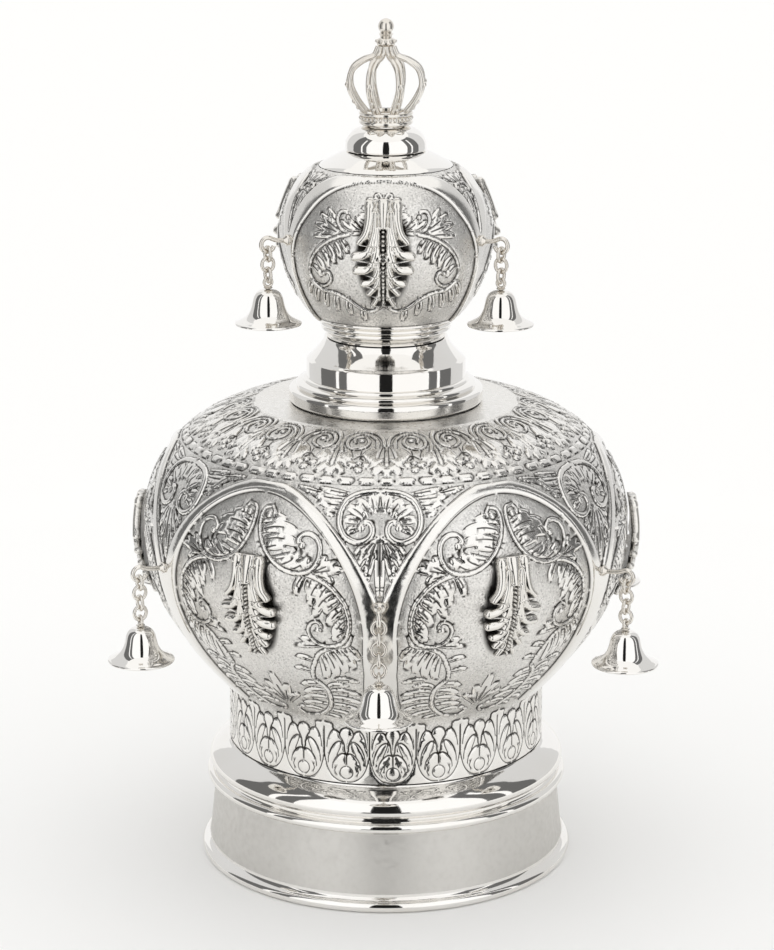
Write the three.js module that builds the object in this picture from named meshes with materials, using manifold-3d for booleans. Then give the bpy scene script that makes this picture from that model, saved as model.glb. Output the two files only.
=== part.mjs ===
// A silver torah crown: a hollow foot, two chased bulbs joined by a polished collar, a dome with a small
// cast crown on top, nine applied acanthus leaves, and nine bells on short chains.
// Millimetres, +Z up, origin on the table under the axis. The front, where two large panels meet, faces -Y.

import * as THREE from 'three';
import { mergeVertices } from 'three/addons/utils/BufferGeometryUtils.js';
import Module from 'manifold-3d';

const wasm = await Module();
wasm.setup();

// ---------------------------------------------------------------- driving sizes

const GAP = 0.3;                  // clearance kept between pieces that rest on each other
const WALL = 1.4;                 // sheet thickness of the raised and spun shells

const FOOT_RADIUS = 83.6;         // rim bead
const FOOT_HEIGHT = 54;
const COLLAR_RADIUS = 70.4;       // leaf collar at the bottom of the large bulb
const WAIST_HEIGHT = 77;          // top of the straight part of that collar
const LARGE_RADIUS = 107.2;
const LARGE_EQUATOR = 150;
const SHOULDER_HEIGHT = 207.4;    // flat plate on top of the large bulb
const SHOULDER_RADIUS = 57;       // outer edge of that plate
const BORDER_HEIGHT = 192.3;      // line between the shoulder band and the panels

const FLANGE_RADIUS = 42.5;       // neck collar
const DRUM_RADIUS = 34.8;
const NECK_TOP = 236.1;

const REED_RADIUS = 30.2;
const SMALL_RADIUS = 46.6;
const SMALL_EQUATOR = 281;
const SMALL_FLOOR = 246.6;        // where the small panels begin
const CAP_HEIGHT = 311;           // line between the small panels and the plain cap
const CAP_RADIUS = 28.7;
const DOME_RADIUS = 17.4;
const DOME_FLOOR = 317.4;
const DOME_TOP = 328;
const RING_RADIUS = 11;           // ring of the finial crown
const FINIAL_TOP = 373.2;

const RIB_LIFT = 1.1;             // how far the polished arch ribs stand proud

const LARGE_EYE_HEIGHT = 144.8;
const LARGE_EYE_REACH = 12.2;     // from the bulb's wall to the middle of the eye
const SMALL_EYE_HEIGHT = 281;
const SMALL_EYE_REACH = 10.4;
const EYE_WIRE = 2.0;
const EYE_RADIUS = 3.0;           // centre line of the loop
const LINK_WIRE = 1.6;
const LINK_INNER_HEIGHT = 4.4;
const LINK_INNER_WIDTH = 3.9;
const BELL_RADIUS = 14.3;
const BELL_HEIGHT = 15.4;
const PIN_WIRE = 1.3;
const PIN_LOOP = 1.9;              // centre line of the loop on a bell pin
const LEAF_LENGTH = 46;
const LEAF_STAND_OFF = 1.1;       // air behind an applied leaf, beyond the wall's own relief

const SILVER = { color: 0xc9c6bf, roughness: 0.18, metalness: 1.0 };
const CHASED_SILVER = { color: 0xaaa59b, roughness: 0.34, metalness: 1.0 };
const DARK_SILVER = { color: 0x77736b, roughness: 0.4, metalness: 1.0 };

// ---------------------------------------------------------------- small helpers

const crown = new THREE.Group();
const degrees = THREE.MathUtils.degToRad;
const point = (x, y) => new THREE.Vector2(x, y);

function addPiece(name, geometry, finish) {
  const piece = new THREE.Mesh(geometry, new THREE.MeshStandardMaterial(finish));
  piece.name = name;
  crown.add(piece);
  return piece;
}

// A closed profile of [radius, height] corners turned round the Z axis.
function turned(corners, segments) {
  const outline = corners.map(([radius, height]) => point(radius, height));
  outline.push(outline[0].clone());
  return new THREE.LatheGeometry(outline, segments).rotateX(Math.PI / 2);
}

// A geometry as a manifold solid, and back.
function toSolid(geometry) {
  const bare = geometry.clone();
  bare.deleteAttribute('normal');
  bare.deleteAttribute('uv');
  const merged = mergeVertices(bare, 1e-4);
  const vertProperties = new Float32Array(merged.attributes.position.array);
  const triVerts = new Uint32Array(merged.index.array);
  return new wasm.Manifold(new wasm.Mesh({ numProp: 3, vertProperties, triVerts }));
}

function toGeometry(solid) {
  const mesh = solid.getMesh();
  const geometry = new THREE.BufferGeometry();
  geometry.setAttribute('position', new THREE.BufferAttribute(mesh.vertProperties, 3));
  geometry.setIndex(new THREE.BufferAttribute(mesh.triVerts, 1));
  geometry.computeVertexNormals();
  return geometry;
}

const fused = (geometries) => toGeometry(geometries.map(toSolid).reduce((sum, next) => sum.add(next)));

// A wire along a curve, with flat ends.
function wire(curve, diameter, sides, steps) {
  const section = new THREE.Shape();
  for (let side = 0; side < sides; side++) {
    const turn = (side + 0.5) / sides * 2 * Math.PI;
    section[side ? 'lineTo' : 'moveTo'](Math.cos(turn) * diameter / 2, Math.sin(turn) * diameter / 2);
  }
  return new THREE.ExtrudeGeometry(section, { steps, extrudePath: curve, bevelEnabled: false });
}

// ---------------------------------------------------------------- skins made of rings

// A skin is a list of rings, each a loop of points round the Z axis. Neighbouring rings may have different
// numbers of points; the last ring joins the first, so the skin closes on itself as a hollow body.
function skin(rings) {
  const positions = [];
  const starts = rings.map((ring) => {
    const start = positions.length / 3;
    ring.forEach(({ angle, radius, height }) => {
      positions.push(radius * Math.sin(angle), -radius * Math.cos(angle), height);
    });
    return start;
  });
  const triangles = [];
  rings.forEach((low, index) => {
    const next = (index + 1) % rings.length;
    stitch(low, starts[index], rings[next], starts[next], triangles);
  });
  const geometry = new THREE.BufferGeometry();
  geometry.setAttribute('position', new THREE.Float32BufferAttribute(positions, 3));
  geometry.setIndex(triangles);
  geometry.computeVertexNormals();
  return geometry;
}

// Joins two loops with triangles, taking each time the point that comes first round the axis.
function stitch(low, lowStart, high, highStart, triangles) {
  const angleAt = (ring, index) => ring[index % ring.length].angle + (index >= ring.length ? 2 * Math.PI : 0);
  let a = 0;
  let b = 0;
  while (a < low.length || b < high.length) {
    const lowVertex = lowStart + a % low.length;
    const highVertex = highStart + b % high.length;
    const stepLow = b >= high.length || (a < low.length && angleAt(low, a + 1) <= angleAt(high, b + 1));
    if (stepLow) {
      triangles.push(lowVertex, lowStart + (a + 1) % low.length, highVertex);
      a += 1;
    } else {
      triangles.push(lowVertex, highStart + (b + 1) % high.length, highVertex);
      b += 1;
    }
  }
}

// A plain round ring with evenly spaced points.
function roundRing(count, radius, height) {
  return Array.from({ length: count }, (_, index) => ({ angle: index / count * 2 * Math.PI, radius, height }));
}

// Columns of a bulb with a number of equal panels: share runs from 0 at a panel's middle to 1 at the rib
// between two panels. The first panel's middle is at firstMiddle.
function panelColumns(panels, shares, firstMiddle) {
  const half = Math.PI / panels;
  const full = 2 * Math.PI;
  const sides = [...shares, ...shares.slice(1, -1).map((share) => -share)];
  return Array.from({ length: panels }, (_, panel) => sides.map((side) => ({
    angle: (firstMiddle + half * (2 * panel + side) + full) % full,
    share: Math.abs(side),
  }))).flat().sort((one, other) => one.angle - other.angle);
}

// Radius of a profile at a height: the profile is a list of curves, each rising all the way.
function radiusAt(curves, height) {
  const curve = curves.find((one) => height <= one.getPoint(1).y + 1e-6) ?? curves.at(-1);
  let low = 0;
  let high = 1;
  for (let step = 0; step < 30; step++) {
    const middle = (low + high) / 2;
    if (curve.getPoint(middle).y < height) low = middle;
    else high = middle;
  }
  return curve.getPoint((low + high) / 2).x;
}

// ---------------------------------------------------------------- foot

function makeFoot() {
  const rim = FOOT_RADIUS;
  const profile = [
    [rim - 3.2, 0], [rim - 1.2, 0], [rim, 1.4], [rim, 3.4], [rim - 1.5, 4.8],       // rim bead
    [rim - 3.6, 6.4], [rim - 6.6, 34],                                              // plain band
    [rim - 3.2, 35.6], [rim - 3.2, 39.8], [rim - 6.2, 41.2],                        // lower bead
    [rim - 4.1, 43], [rim - 4.5, 47.2], [rim - 8, 51.7],                            // cushion
    [COLLAR_RADIUS + 1.2, FOOT_HEIGHT], [66, FOOT_HEIGHT], [66, FOOT_HEIGHT - WALL],
    [rim - 9.8, 50.2], [rim - 6.4, 45], [rim - 8.1, 40], [rim - 8.3, 33],
  ];
  return addPiece('foot', turned(profile, 22), SILVER);
}

// ---------------------------------------------------------------- large bulb

const largeProfile = [
  new THREE.LineCurve(point(COLLAR_RADIUS, FOOT_HEIGHT), point(COLLAR_RADIUS, WAIST_HEIGHT)),
  new THREE.QuadraticBezierCurve(
    point(COLLAR_RADIUS, WAIST_HEIGHT), point(COLLAR_RADIUS, 81), point(73.2, 84)),
  new THREE.CubicBezierCurve(
    point(73.2, 84), point(81.1, 93.1), point(LARGE_RADIUS, 117.4), point(LARGE_RADIUS, LARGE_EQUATOR)),
  new THREE.CubicBezierCurve(
    point(LARGE_RADIUS, LARGE_EQUATOR), point(LARGE_RADIUS, 191.6), point(77.2, 203.1),
    point(SHOULDER_RADIUS, SHOULDER_HEIGHT)),
];
const largeRadius = (height) => radiusAt(largeProfile, height);

// The arch over a panel: an ellipse with its middle on the panel's axis. share is 0 there and 1 at the rib.
const arch = (share, reach, floor, rise) => floor + rise * Math.sqrt(Math.max(0, 1 - (share / reach) ** 2));
const largeArchOuter = (share) => Math.min(arch(share, 1.087, 115, 77), BORDER_HEIGHT - 1);
const largeArchInner = (share) => arch(Math.min(share, 0.853), 0.873, 130, 57.5);

function makeLargeBulb() {
  const columns = panelColumns(6, [0, 0.4, 0.7, 0.853, 0.893, 1], degrees(30));
  const onRib = (share) => share > 0.87;
  const ring = (heightOf, liftOf) => columns.map(({ angle, share }) => {
    const height = heightOf(share);
    return { angle, height, radius: largeRadius(height) + liftOf(share) };
  });
  const proud = () => RIB_LIFT;
  const flush = () => 0;
  const ribOnly = (share) => (onRib(share) ? RIB_LIFT : 0);
  const crestLow = (share) => (onRib(share) ? 141 - 2 * share : largeArchInner(share) + 1.4);
  const innerEdge = (share) => (onRib(share) ? 138 - 2 * share : largeArchInner(share));
  const crestHigh = (share) => largeArchOuter(share) - 1.4 - 1.6 * share ** 4;
  const panelRow = (drop) => (share) => innerEdge(share) + (WAIST_HEIGHT + 8 - innerEdge(share)) * drop;
  const spandrelRow = (climb) => (share) =>
    largeArchOuter(share) + (BORDER_HEIGHT - largeArchOuter(share)) * climb;
  const inner = (height) => roundRing(20, largeRadius(height) - WALL - 0.4, height);
  return addPiece('large_bulb', skin([
    roundRing(20, 66, FOOT_HEIGHT + GAP),
    roundRing(30, COLLAR_RADIUS, FOOT_HEIGHT + GAP),
    roundRing(30, COLLAR_RADIUS, WAIST_HEIGHT),
    ring(panelRow(1), flush),
    ...[0.84, 0.42].map((drop) => ring(panelRow(drop), ribOnly)),
    ring(innerEdge, ribOnly),
    ring(crestLow, proud),
    ring(crestHigh, proud),
    ring(largeArchOuter, flush),
    ring(spandrelRow(0.5), flush),
    roundRing(36, largeRadius(BORDER_HEIGHT), BORDER_HEIGHT),
    roundRing(36, largeRadius(198), 198),
    roundRing(30, largeRadius(204), 204),
    roundRing(30, SHOULDER_RADIUS, SHOULDER_HEIGHT),
    roundRing(20, 27, SHOULDER_HEIGHT),
    roundRing(20, 27, SHOULDER_HEIGHT - WALL),
    roundRing(20, SHOULDER_RADIUS - 6, SHOULDER_HEIGHT - WALL),
    inner(198), inner(182), inner(LARGE_EQUATOR), inner(118), inner(86),
    roundRing(20, 68.4, 79),
    roundRing(20, 68.4, 60),
  ]), CHASED_SILVER);
}

// ---------------------------------------------------------------- neck collar

function makeNeckCollar() {
  const floor = SHOULDER_HEIGHT + GAP;
  const profile = [
    [27, floor], [FLANGE_RADIUS - 0.6, floor],
    [FLANGE_RADIUS, 209.4], [FLANGE_RADIUS, 212.6], [FLANGE_RADIUS - 1, 214],       // flange
    [39.2, 214.4], [39.2, 216.2], [36.6, 217.6],                                    // step bead
    [DRUM_RADIUS, 218], [DRUM_RADIUS, 226],                                         // drum
    [26.8, NECK_TOP], [24.4, NECK_TOP],                                             // cone
    [32.8, 225], [32.8, 211], [27, 209.4],
  ];
  return addPiece('neck_collar', turned(profile, 20), SILVER);
}

// ---------------------------------------------------------------- small bulb

const smallProfile = [
  new THREE.CubicBezierCurve(
    point(32.6, SMALL_FLOOR - 0.2), point(38.8, 251.1), point(SMALL_RADIUS, 269.7),
    point(SMALL_RADIUS, SMALL_EQUATOR)),
  new THREE.CubicBezierCurve(
    point(SMALL_RADIUS, SMALL_EQUATOR), point(SMALL_RADIUS, 286.6), point(44.6, 303.8),
    point(CAP_RADIUS, CAP_HEIGHT)),
];
const smallRadius = (height) => radiusAt(smallProfile, height);
const smallArchOuter = (share) => arch(share, 1.02, 272, 38.2);
const smallArchInner = (share) => arch(Math.min(share, 0.9), 0.96, 265, 43.7);

function makeSmallBulb() {
  const columns = panelColumns(3, [0, 0.34, 0.64, 0.865, 0.94, 1], 0);
  const ribEdge = 0.9;
  const ring = (heightOf, liftOf) => columns.map(({ angle, share }) => {
    const height = heightOf(share);
    return { angle, height, radius: smallRadius(height) + liftOf(share) };
  });
  const proud = () => 0.7 * RIB_LIFT;
  const flush = () => 0;
  const ribOnly = (share) => (share > ribEdge ? 0.7 * RIB_LIFT : 0);
  const crestLow = (share) => (share > ribEdge ? 278.6 - 1.6 * share : smallArchInner(share) + 0.9);
  const innerEdge = (share) => (share > ribEdge ? 276.4 - 1.6 * share : smallArchInner(share));
  const crestHigh = (share) => smallArchOuter(share) - 0.8 - 1.2 * share ** 6;
  const panelRow = (drop) => (share) => innerEdge(share) + (SMALL_FLOOR + 0.4 - innerEdge(share)) * drop;
  const spandrelRow = (climb) => (share) =>
    smallArchOuter(share) + (CAP_HEIGHT - 0.2 - smallArchOuter(share)) * climb;
  const inner = (height) => roundRing(16, smallRadius(height) - WALL - 0.5, height);
  const floor = NECK_TOP + GAP;
  const reed = REED_RADIUS;
  return addPiece('small_bulb', skin([
    roundRing(16, 24.4, floor),
    roundRing(20, reed - 3.8, floor),
    roundRing(20, reed - 3.2, 238.6),
    ...[239.9, 242.2, 244.5].flatMap((height, index) => [
      roundRing(18, reed - 1.7 + 0.6 * index, height),
      roundRing(18, reed - 0.9 + 0.5 * index, height + 1.2),
    ]),
    ring(panelRow(1), flush),
    ...[0.8, 0.4].map((drop) => ring(panelRow(drop), ribOnly)),
    ring(innerEdge, ribOnly),
    ring(crestLow, proud),
    ring(crestHigh, proud),
    ring(smallArchOuter, flush),
    ring(spandrelRow(0.5), flush),
    roundRing(24, CAP_RADIUS, CAP_HEIGHT),
    roundRing(20, DOME_RADIUS, DOME_FLOOR - GAP),
    roundRing(16, 9, DOME_FLOOR - GAP),
    roundRing(16, 9, DOME_FLOOR - GAP - WALL),
    roundRing(16, DOME_RADIUS - 1, DOME_FLOOR - 2 * WALL),
    inner(308), inner(298), inner(SMALL_EQUATOR), inner(262),
    roundRing(16, smallRadius(249) - WALL - 1.2, 249),
    roundRing(16, 26.6, 245),
    roundRing(16, 24.4, 240),
  ]), CHASED_SILVER);
}

// ---------------------------------------------------------------- dome knob

function makeDomeKnob() {
  const rise = (radius, height, turns) => turns.map((turn) =>
    [radius * Math.cos(degrees(turn)), DOME_FLOOR + 1.2 + height * Math.sin(degrees(turn))]);
  const outer = rise(DOME_RADIUS, DOME_TOP - DOME_FLOOR, [0, 20, 40, 58]);
  const inner = rise(DOME_RADIUS - 1.6, DOME_TOP - DOME_FLOOR - 1.6, [50, 20, 0]);
  const profile = [
    [DOME_RADIUS - 1.6, DOME_FLOOR], [DOME_RADIUS, DOME_FLOOR],
    ...outer, [5, DOME_TOP], [5, DOME_TOP - WALL], ...inner,
  ];
  return addPiece('dome_knob', turned(profile, 13), SILVER);
}

// ---------------------------------------------------------------- finial crown

function makeFinialCrown() {
  const floor = DOME_TOP + GAP;
  const ringTop = 334;
  const ring = turned([
    [7.4, floor], [RING_RADIUS, floor], [RING_RADIUS, 329.4], [RING_RADIUS - 0.6, 329.8],
    [RING_RADIUS - 0.6, 332.4], [RING_RADIUS, 332.8], [RING_RADIUS, ringTop], [7.4, ringTop],
  ], 12);
  const stem = new THREE.LatheGeometry([
    point(0, 354.4), point(7.6, 355.2), point(5, 358.4), point(2.6, 361.4),
    point(4, 363.4), point(1.8, 366.4), point(3.4, 369.4), point(2.6, 372.2), point(0, FINIAL_TOP),
  ], 8).rotateX(Math.PI / 2);
  const ribs = Array.from({ length: 8 }, (_, index) => {
    const path = new THREE.CatmullRomCurve3([
      new THREE.Vector3(9.2, 0, 333.4), new THREE.Vector3(13.6, 0, 338.6), new THREE.Vector3(16.6, 0, 345),
      new THREE.Vector3(15.4, 0, 351.8), new THREE.Vector3(10.2, 0, 355.8), new THREE.Vector3(4.8, 0, 356.6),
    ]);
    return wire(path, 2.9, 3, 6).rotateZ(degrees(45 * index + 22.5));
  });
  return addPiece('finial_crown', fused([ring, stem, ...ribs]), DARK_SILVER);
}

// ---------------------------------------------------------------- applied acanthus leaves

// Half width of a leaf along its length: three pairs of lobes that flow down from the stem, then a flared tip.
function leafHalfWidth(along) {
  const lobe = (middle, spread, width) => width * Math.max(0, 1 - Math.abs(along - middle) / spread);
  return Math.max(2, lobe(0, 0.5, 7.2), lobe(0.5, 0.2, 12.9), lobe(0.76, 0.16, 8.6), lobe(1, 0.2, 4));
}

// A leaf bowed out from a bulb's wall. It is built on its wall: each row has two edges, two flanks and a stem.
function makeLeaf(name, angle, radiusOf, topHeight, bottomHeight) {
  const rows = [0, 0.2, 0.38, 0.5, 0.64, 0.78, 1];
  const positions = [];
  rows.forEach((along) => {
    const height = topHeight + (bottomHeight - topHeight) * along;
    const half = leafHalfWidth(along);
    const wall = radiusOf(height) + LEAF_STAND_OFF;
    const bow = 1.2 * Math.sin(Math.PI * Math.min(1, along * 1.08));
    const place = (across, out) => {
      const turn = angle + across / radiusOf(height);
      const droop = 0.25 * Math.max(0, Math.abs(across) - 2);
      positions.push((wall + out) * Math.sin(turn), -(wall + out) * Math.cos(turn), height - droop);
    };
    place(-half, bow * 0.4 + 0.5);
    place(-half * 0.55, bow + 2.0);
    place(0, bow + 1.7);
    place(half * 0.55, bow + 2.0);
    place(half, bow * 0.4 + 0.5);
    place(0, bow * 0.4);
  });
  const triangles = [];
  for (let row = 0; row < rows.length - 1; row++) {
    for (let corner = 0; corner < 6; corner++) {
      const a = row * 6 + corner;
      const b = row * 6 + (corner + 1) % 6;
      triangles.push(a, a + 6, b, b, a + 6, b + 6);
    }
  }
  const last = (rows.length - 1) * 6;
  for (let corner = 1; corner < 5; corner++) {
    triangles.push(0, corner, corner + 1);
    triangles.push(last, last + corner + 1, last + corner);
  }
  const geometry = new THREE.BufferGeometry();
  geometry.setAttribute('position', new THREE.Float32BufferAttribute(positions, 3));
  geometry.setIndex(triangles);
  geometry.computeVertexNormals();
  return addPiece(name, geometry, DARK_SILVER);
}

// ---------------------------------------------------------------- wire eyes, chains, bells

// The wire runs straight out of the wall, then turns up and round into an eye that nearly closes on itself.
class EyePath extends THREE.Curve {
  constructor(start, middle) {
    super();
    this.start = start;
    this.middle = middle;
  }

  getPoint(t, target = new THREE.Vector3()) {
    const straight = 0.22;
    const neck = this.middle - EYE_RADIUS;
    if (t < straight) return target.set(0, -(this.start + (neck - this.start) * t / straight), 0);
    const turn = (t - straight) / (1 - straight) * degrees(292);
    return target.set(
      0, -(this.middle - EYE_RADIUS * Math.cos(turn)), EYE_RADIUS * Math.sin(turn));
  }
}

function makeEye(name, angle, wallRadius, reach, height) {
  const path = new EyePath(wallRadius + RIB_LIFT + GAP, wallRadius + reach);
  const eye = wire(path, EYE_WIRE, 4, 7).rotateZ(angle).translate(0, 0, height);
  return addPiece(name, eye, SILVER);
}

// An oval link, standing in the XZ plane: six straight sides, with flat ones at its top and bottom.
function linkGeometry() {
  const sides = 6;
  const flat = Math.sin(Math.PI / 3);
  const loop = new THREE.Shape();
  const hole = new THREE.Path();
  for (let side = 0; side < sides; side++) {
    const turn = side / sides * 2 * Math.PI;
    const trace = (path, halfWidth, halfHeight) => path[side ? 'lineTo' : 'moveTo'](
      halfWidth * Math.cos(turn), halfHeight / flat * Math.sin(turn));
    trace(loop, LINK_INNER_WIDTH / 2 + LINK_WIRE, LINK_INNER_HEIGHT / 2 + LINK_WIRE);
    trace(hole, LINK_INNER_WIDTH / 2, LINK_INNER_HEIGHT / 2);
  }
  loop.holes.push(hole);
  return new THREE.ExtrudeGeometry(loop, { depth: LINK_WIRE * 0.86, bevelEnabled: false })
    .translate(0, 0, -LINK_WIRE * 0.43)
    .rotateX(Math.PI / 2);
}

// Links hang in each other, turned a quarter each time. The first hangs in the eye, across its plane.
function makeChain(name, angle, reach, eyeHeight, links) {
  const first = eyeHeight - (EYE_RADIUS - EYE_WIRE / 2) - LINK_INNER_HEIGHT / 2 + GAP;
  const pitch = LINK_INNER_HEIGHT + 0.12;
  const pieces = Array.from({ length: links }, (_, index) =>
    linkGeometry().rotateZ(index % 2 ? Math.PI / 2 : 0).translate(0, -reach, first - pitch * index));
  addPiece(name, fused(pieces).rotateZ(angle), SILVER);
  return first - pitch * (links - 1) - LINK_INNER_HEIGHT / 2;
}

// The pin hangs in the last link by its loop and passes through the bell's crown to a small clapper ball.
function makePin(name, angle, reach, hangHeight, links) {
  const loopMiddle = hangHeight + GAP - (PIN_LOOP - PIN_WIRE / 2);
  const loop = new THREE.TorusGeometry(PIN_LOOP, PIN_WIRE / 2, 3, 5)
    .rotateX(Math.PI / 2)
    .rotateZ(links % 2 ? Math.PI / 2 : 0)
    .translate(0, 0, loopMiddle);
  const shank = loopMiddle - PIN_LOOP;
  const stem = new THREE.LatheGeometry([
    point(0, shank - 8.8), point(1.9, shank - 7.2), point(0.6, shank - 5),
    point(0.6, shank + 0.3), point(0, shank + 0.3),
  ], 4).rotateX(Math.PI / 2);
  addPiece(name, fused([loop, stem]).translate(0, -reach, 0).rotateZ(angle), SILVER);
  return shank - PIN_WIRE / 2 - GAP;
}

function makeBell(name, angle, reach, crownHeight) {
  const mouth = crownHeight - BELL_HEIGHT;
  const profile = [
    [BELL_RADIUS, mouth], [BELL_RADIUS - 3.6, mouth + 2.7],
    [7.5, mouth + 6.4], [6.2, mouth + 12], [1.0, crownHeight],
    [1.0, crownHeight - 1.2], [5, mouth + 11], [8.4, mouth + 3],
  ];
  const bell = turned(profile, 7).translate(0, -reach, 0).rotateZ(angle);
  return addPiece(name, bell, SILVER);
}

function hangBell(kind, number, angle, wallRadius, reach, eyeHeight, links) {
  const out = wallRadius + reach;
  makeEye(`${kind}_eye_${number}`, angle, wallRadius, reach, eyeHeight);
  const hangHeight = makeChain(`${kind}_chain_${number}`, angle, out, eyeHeight, links);
  const crownHeight = makePin(`${kind}_pin_${number}`, angle, out, hangHeight, links);
  makeBell(`${kind}_bell_${number}`, angle, out, crownHeight);
}

// ---------------------------------------------------------------- the crown

makeFoot();
makeLargeBulb();
makeNeckCollar();
makeSmallBulb();
makeDomeKnob();
makeFinialCrown();

for (let index = 0; index < 6; index++) {
  const rib = degrees(60 * index);
  const links = index === 0 ? 5 : 4;      // the front chain has one link more
  hangBell('large', index + 1, rib, LARGE_RADIUS, LARGE_EYE_REACH, LARGE_EYE_HEIGHT, links);
  const top = 163.8;
  makeLeaf(`large_leaf_${index + 1}`, rib + degrees(30), largeRadius, top, top - LEAF_LENGTH * 0.955);
}

for (let index = 0; index < 3; index++) {
  const panel = degrees(120 * index);
  hangBell('small', index + 1, panel + degrees(60), SMALL_RADIUS, SMALL_EYE_REACH, SMALL_EYE_HEIGHT, 3);
  const top = 301.2;
  makeLeaf(`small_leaf_${index + 1}`, panel, smallRadius, top, top - LEAF_LENGTH * 0.955);
}

export default crown;
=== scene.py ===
import math

import bpy
import numpy as np
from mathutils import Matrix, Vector, geometry


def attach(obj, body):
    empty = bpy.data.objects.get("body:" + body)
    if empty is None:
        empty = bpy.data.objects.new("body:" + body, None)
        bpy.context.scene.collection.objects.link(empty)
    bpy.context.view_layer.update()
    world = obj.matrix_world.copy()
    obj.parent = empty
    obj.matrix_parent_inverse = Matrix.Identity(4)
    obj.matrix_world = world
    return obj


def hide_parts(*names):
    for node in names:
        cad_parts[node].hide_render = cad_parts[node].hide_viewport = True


# A silver torah crown. Shapes are worked out in millimetres and written to meshes in metres.
# Angles run round the Z axis from the front (-Y) towards +X, as in the CAD model.

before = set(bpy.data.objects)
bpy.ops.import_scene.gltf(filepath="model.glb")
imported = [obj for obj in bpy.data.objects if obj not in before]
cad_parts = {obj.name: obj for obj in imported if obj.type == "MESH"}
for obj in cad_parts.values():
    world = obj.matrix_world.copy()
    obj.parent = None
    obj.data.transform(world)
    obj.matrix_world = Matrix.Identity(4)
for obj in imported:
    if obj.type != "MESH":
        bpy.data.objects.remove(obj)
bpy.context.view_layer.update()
MM = 0.001
rng = np.random.default_rng(7)

# ---------------------------------------------------------------- curves in the plane


def as_points(points):
    return np.asarray(points, float)


def bezier(p0, p1, p2, p3, steps=24):
    t = np.linspace(0, 1, steps + 1)[:, None]
    p0, p1, p2, p3 = map(as_points, (p0, p1, p2, p3))
    return (1 - t) ** 3 * p0 + 3 * (1 - t) ** 2 * t * p1 + 3 * (1 - t) * t * t * p2 + t ** 3 * p3


def spline(points, per=8):
    """A smooth curve through a few points (centripetal Catmull-Rom)."""
    p = as_points(points)
    p = np.vstack([2 * p[0] - p[1], p, 2 * p[-1] - p[-2]])
    out = []
    for i in range(1, len(p) - 2):
        a, b, c, d = p[i - 1], p[i], p[i + 1], p[i + 2]
        gap = [max(1e-6, np.linalg.norm(w - v)) ** 0.5 for v, w in ((a, b), (b, c), (c, d))]
        m1 = (b - a) / gap[0] - (c - a) / (gap[0] + gap[1]) + (c - b) / gap[1]
        m2 = (c - b) / gap[1] - (d - b) / (gap[1] + gap[2]) + (d - c) / gap[2]
        m1, m2 = m1 * gap[1], m2 * gap[1]
        for t in np.arange(per) / per:
            out.append((2 * t ** 3 - 3 * t * t + 1) * b + (t ** 3 - 2 * t * t + t) * m1
                       + (-2 * t ** 3 + 3 * t * t) * c + (t ** 3 - t * t) * m2)
    out.append(p[-2])
    return np.array(out)


def lengths(path):
    return np.concatenate([[0], np.cumsum(np.linalg.norm(np.diff(path, axis=0), axis=1))])


def resample(path, step):
    path = as_points(path)
    run = lengths(path)
    count = max(2, int(round(run[-1] / step)) + 1)
    at = np.linspace(0, run[-1], count)
    return np.stack([np.interp(at, run, path[:, k]) for k in range(path.shape[1])], axis=1)


def part_of(path, first, last):
    run = lengths(path)
    at = np.linspace(first * run[-1], last * run[-1], max(3, int((last - first) * len(path)) + 2))
    return np.stack([np.interp(at, run, path[:, k]) for k in range(path.shape[1])], axis=1)


def normals(path):
    tangent = np.gradient(path, axis=0)
    tangent /= np.maximum(1e-9, np.linalg.norm(tangent, axis=1))[:, None]
    return np.stack([-tangent[:, 1], tangent[:, 0]], axis=1)


def sweep(start, heading, length, bend, steps=12):
    """A curve that leaves start at a heading and turns evenly by bend, both in degrees."""
    turn = np.radians(heading + bend * (np.arange(steps) + 0.5) / steps)
    moves = np.stack([np.cos(turn), np.sin(turn)], axis=1) * length / steps
    return np.vstack([[start], as_points(start) + np.cumsum(moves, axis=0)])


def nearest(points, path, width):
    """How far each point lies outside a stroke of varying half width, and its place across it."""
    a, b = path[:-1], path[1:]
    ab = b - a
    rel = points[:, None, :] - a[None]
    t = np.clip((rel * ab[None]).sum(2) / np.maximum(1e-12, (ab ** 2).sum(1))[None], 0, 1)
    gap = np.linalg.norm(rel - t[..., None] * ab[None], axis=2)
    half = width[:-1][None] + t * (width[1:] - width[:-1])[None]
    best = np.argmin(gap - half, axis=1)
    rows = np.arange(len(points))
    return (gap - half)[rows, best], gap[rows, best] / np.maximum(1e-6, half[rows, best])


# ---------------------------------------------------------------- chased relief


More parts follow.
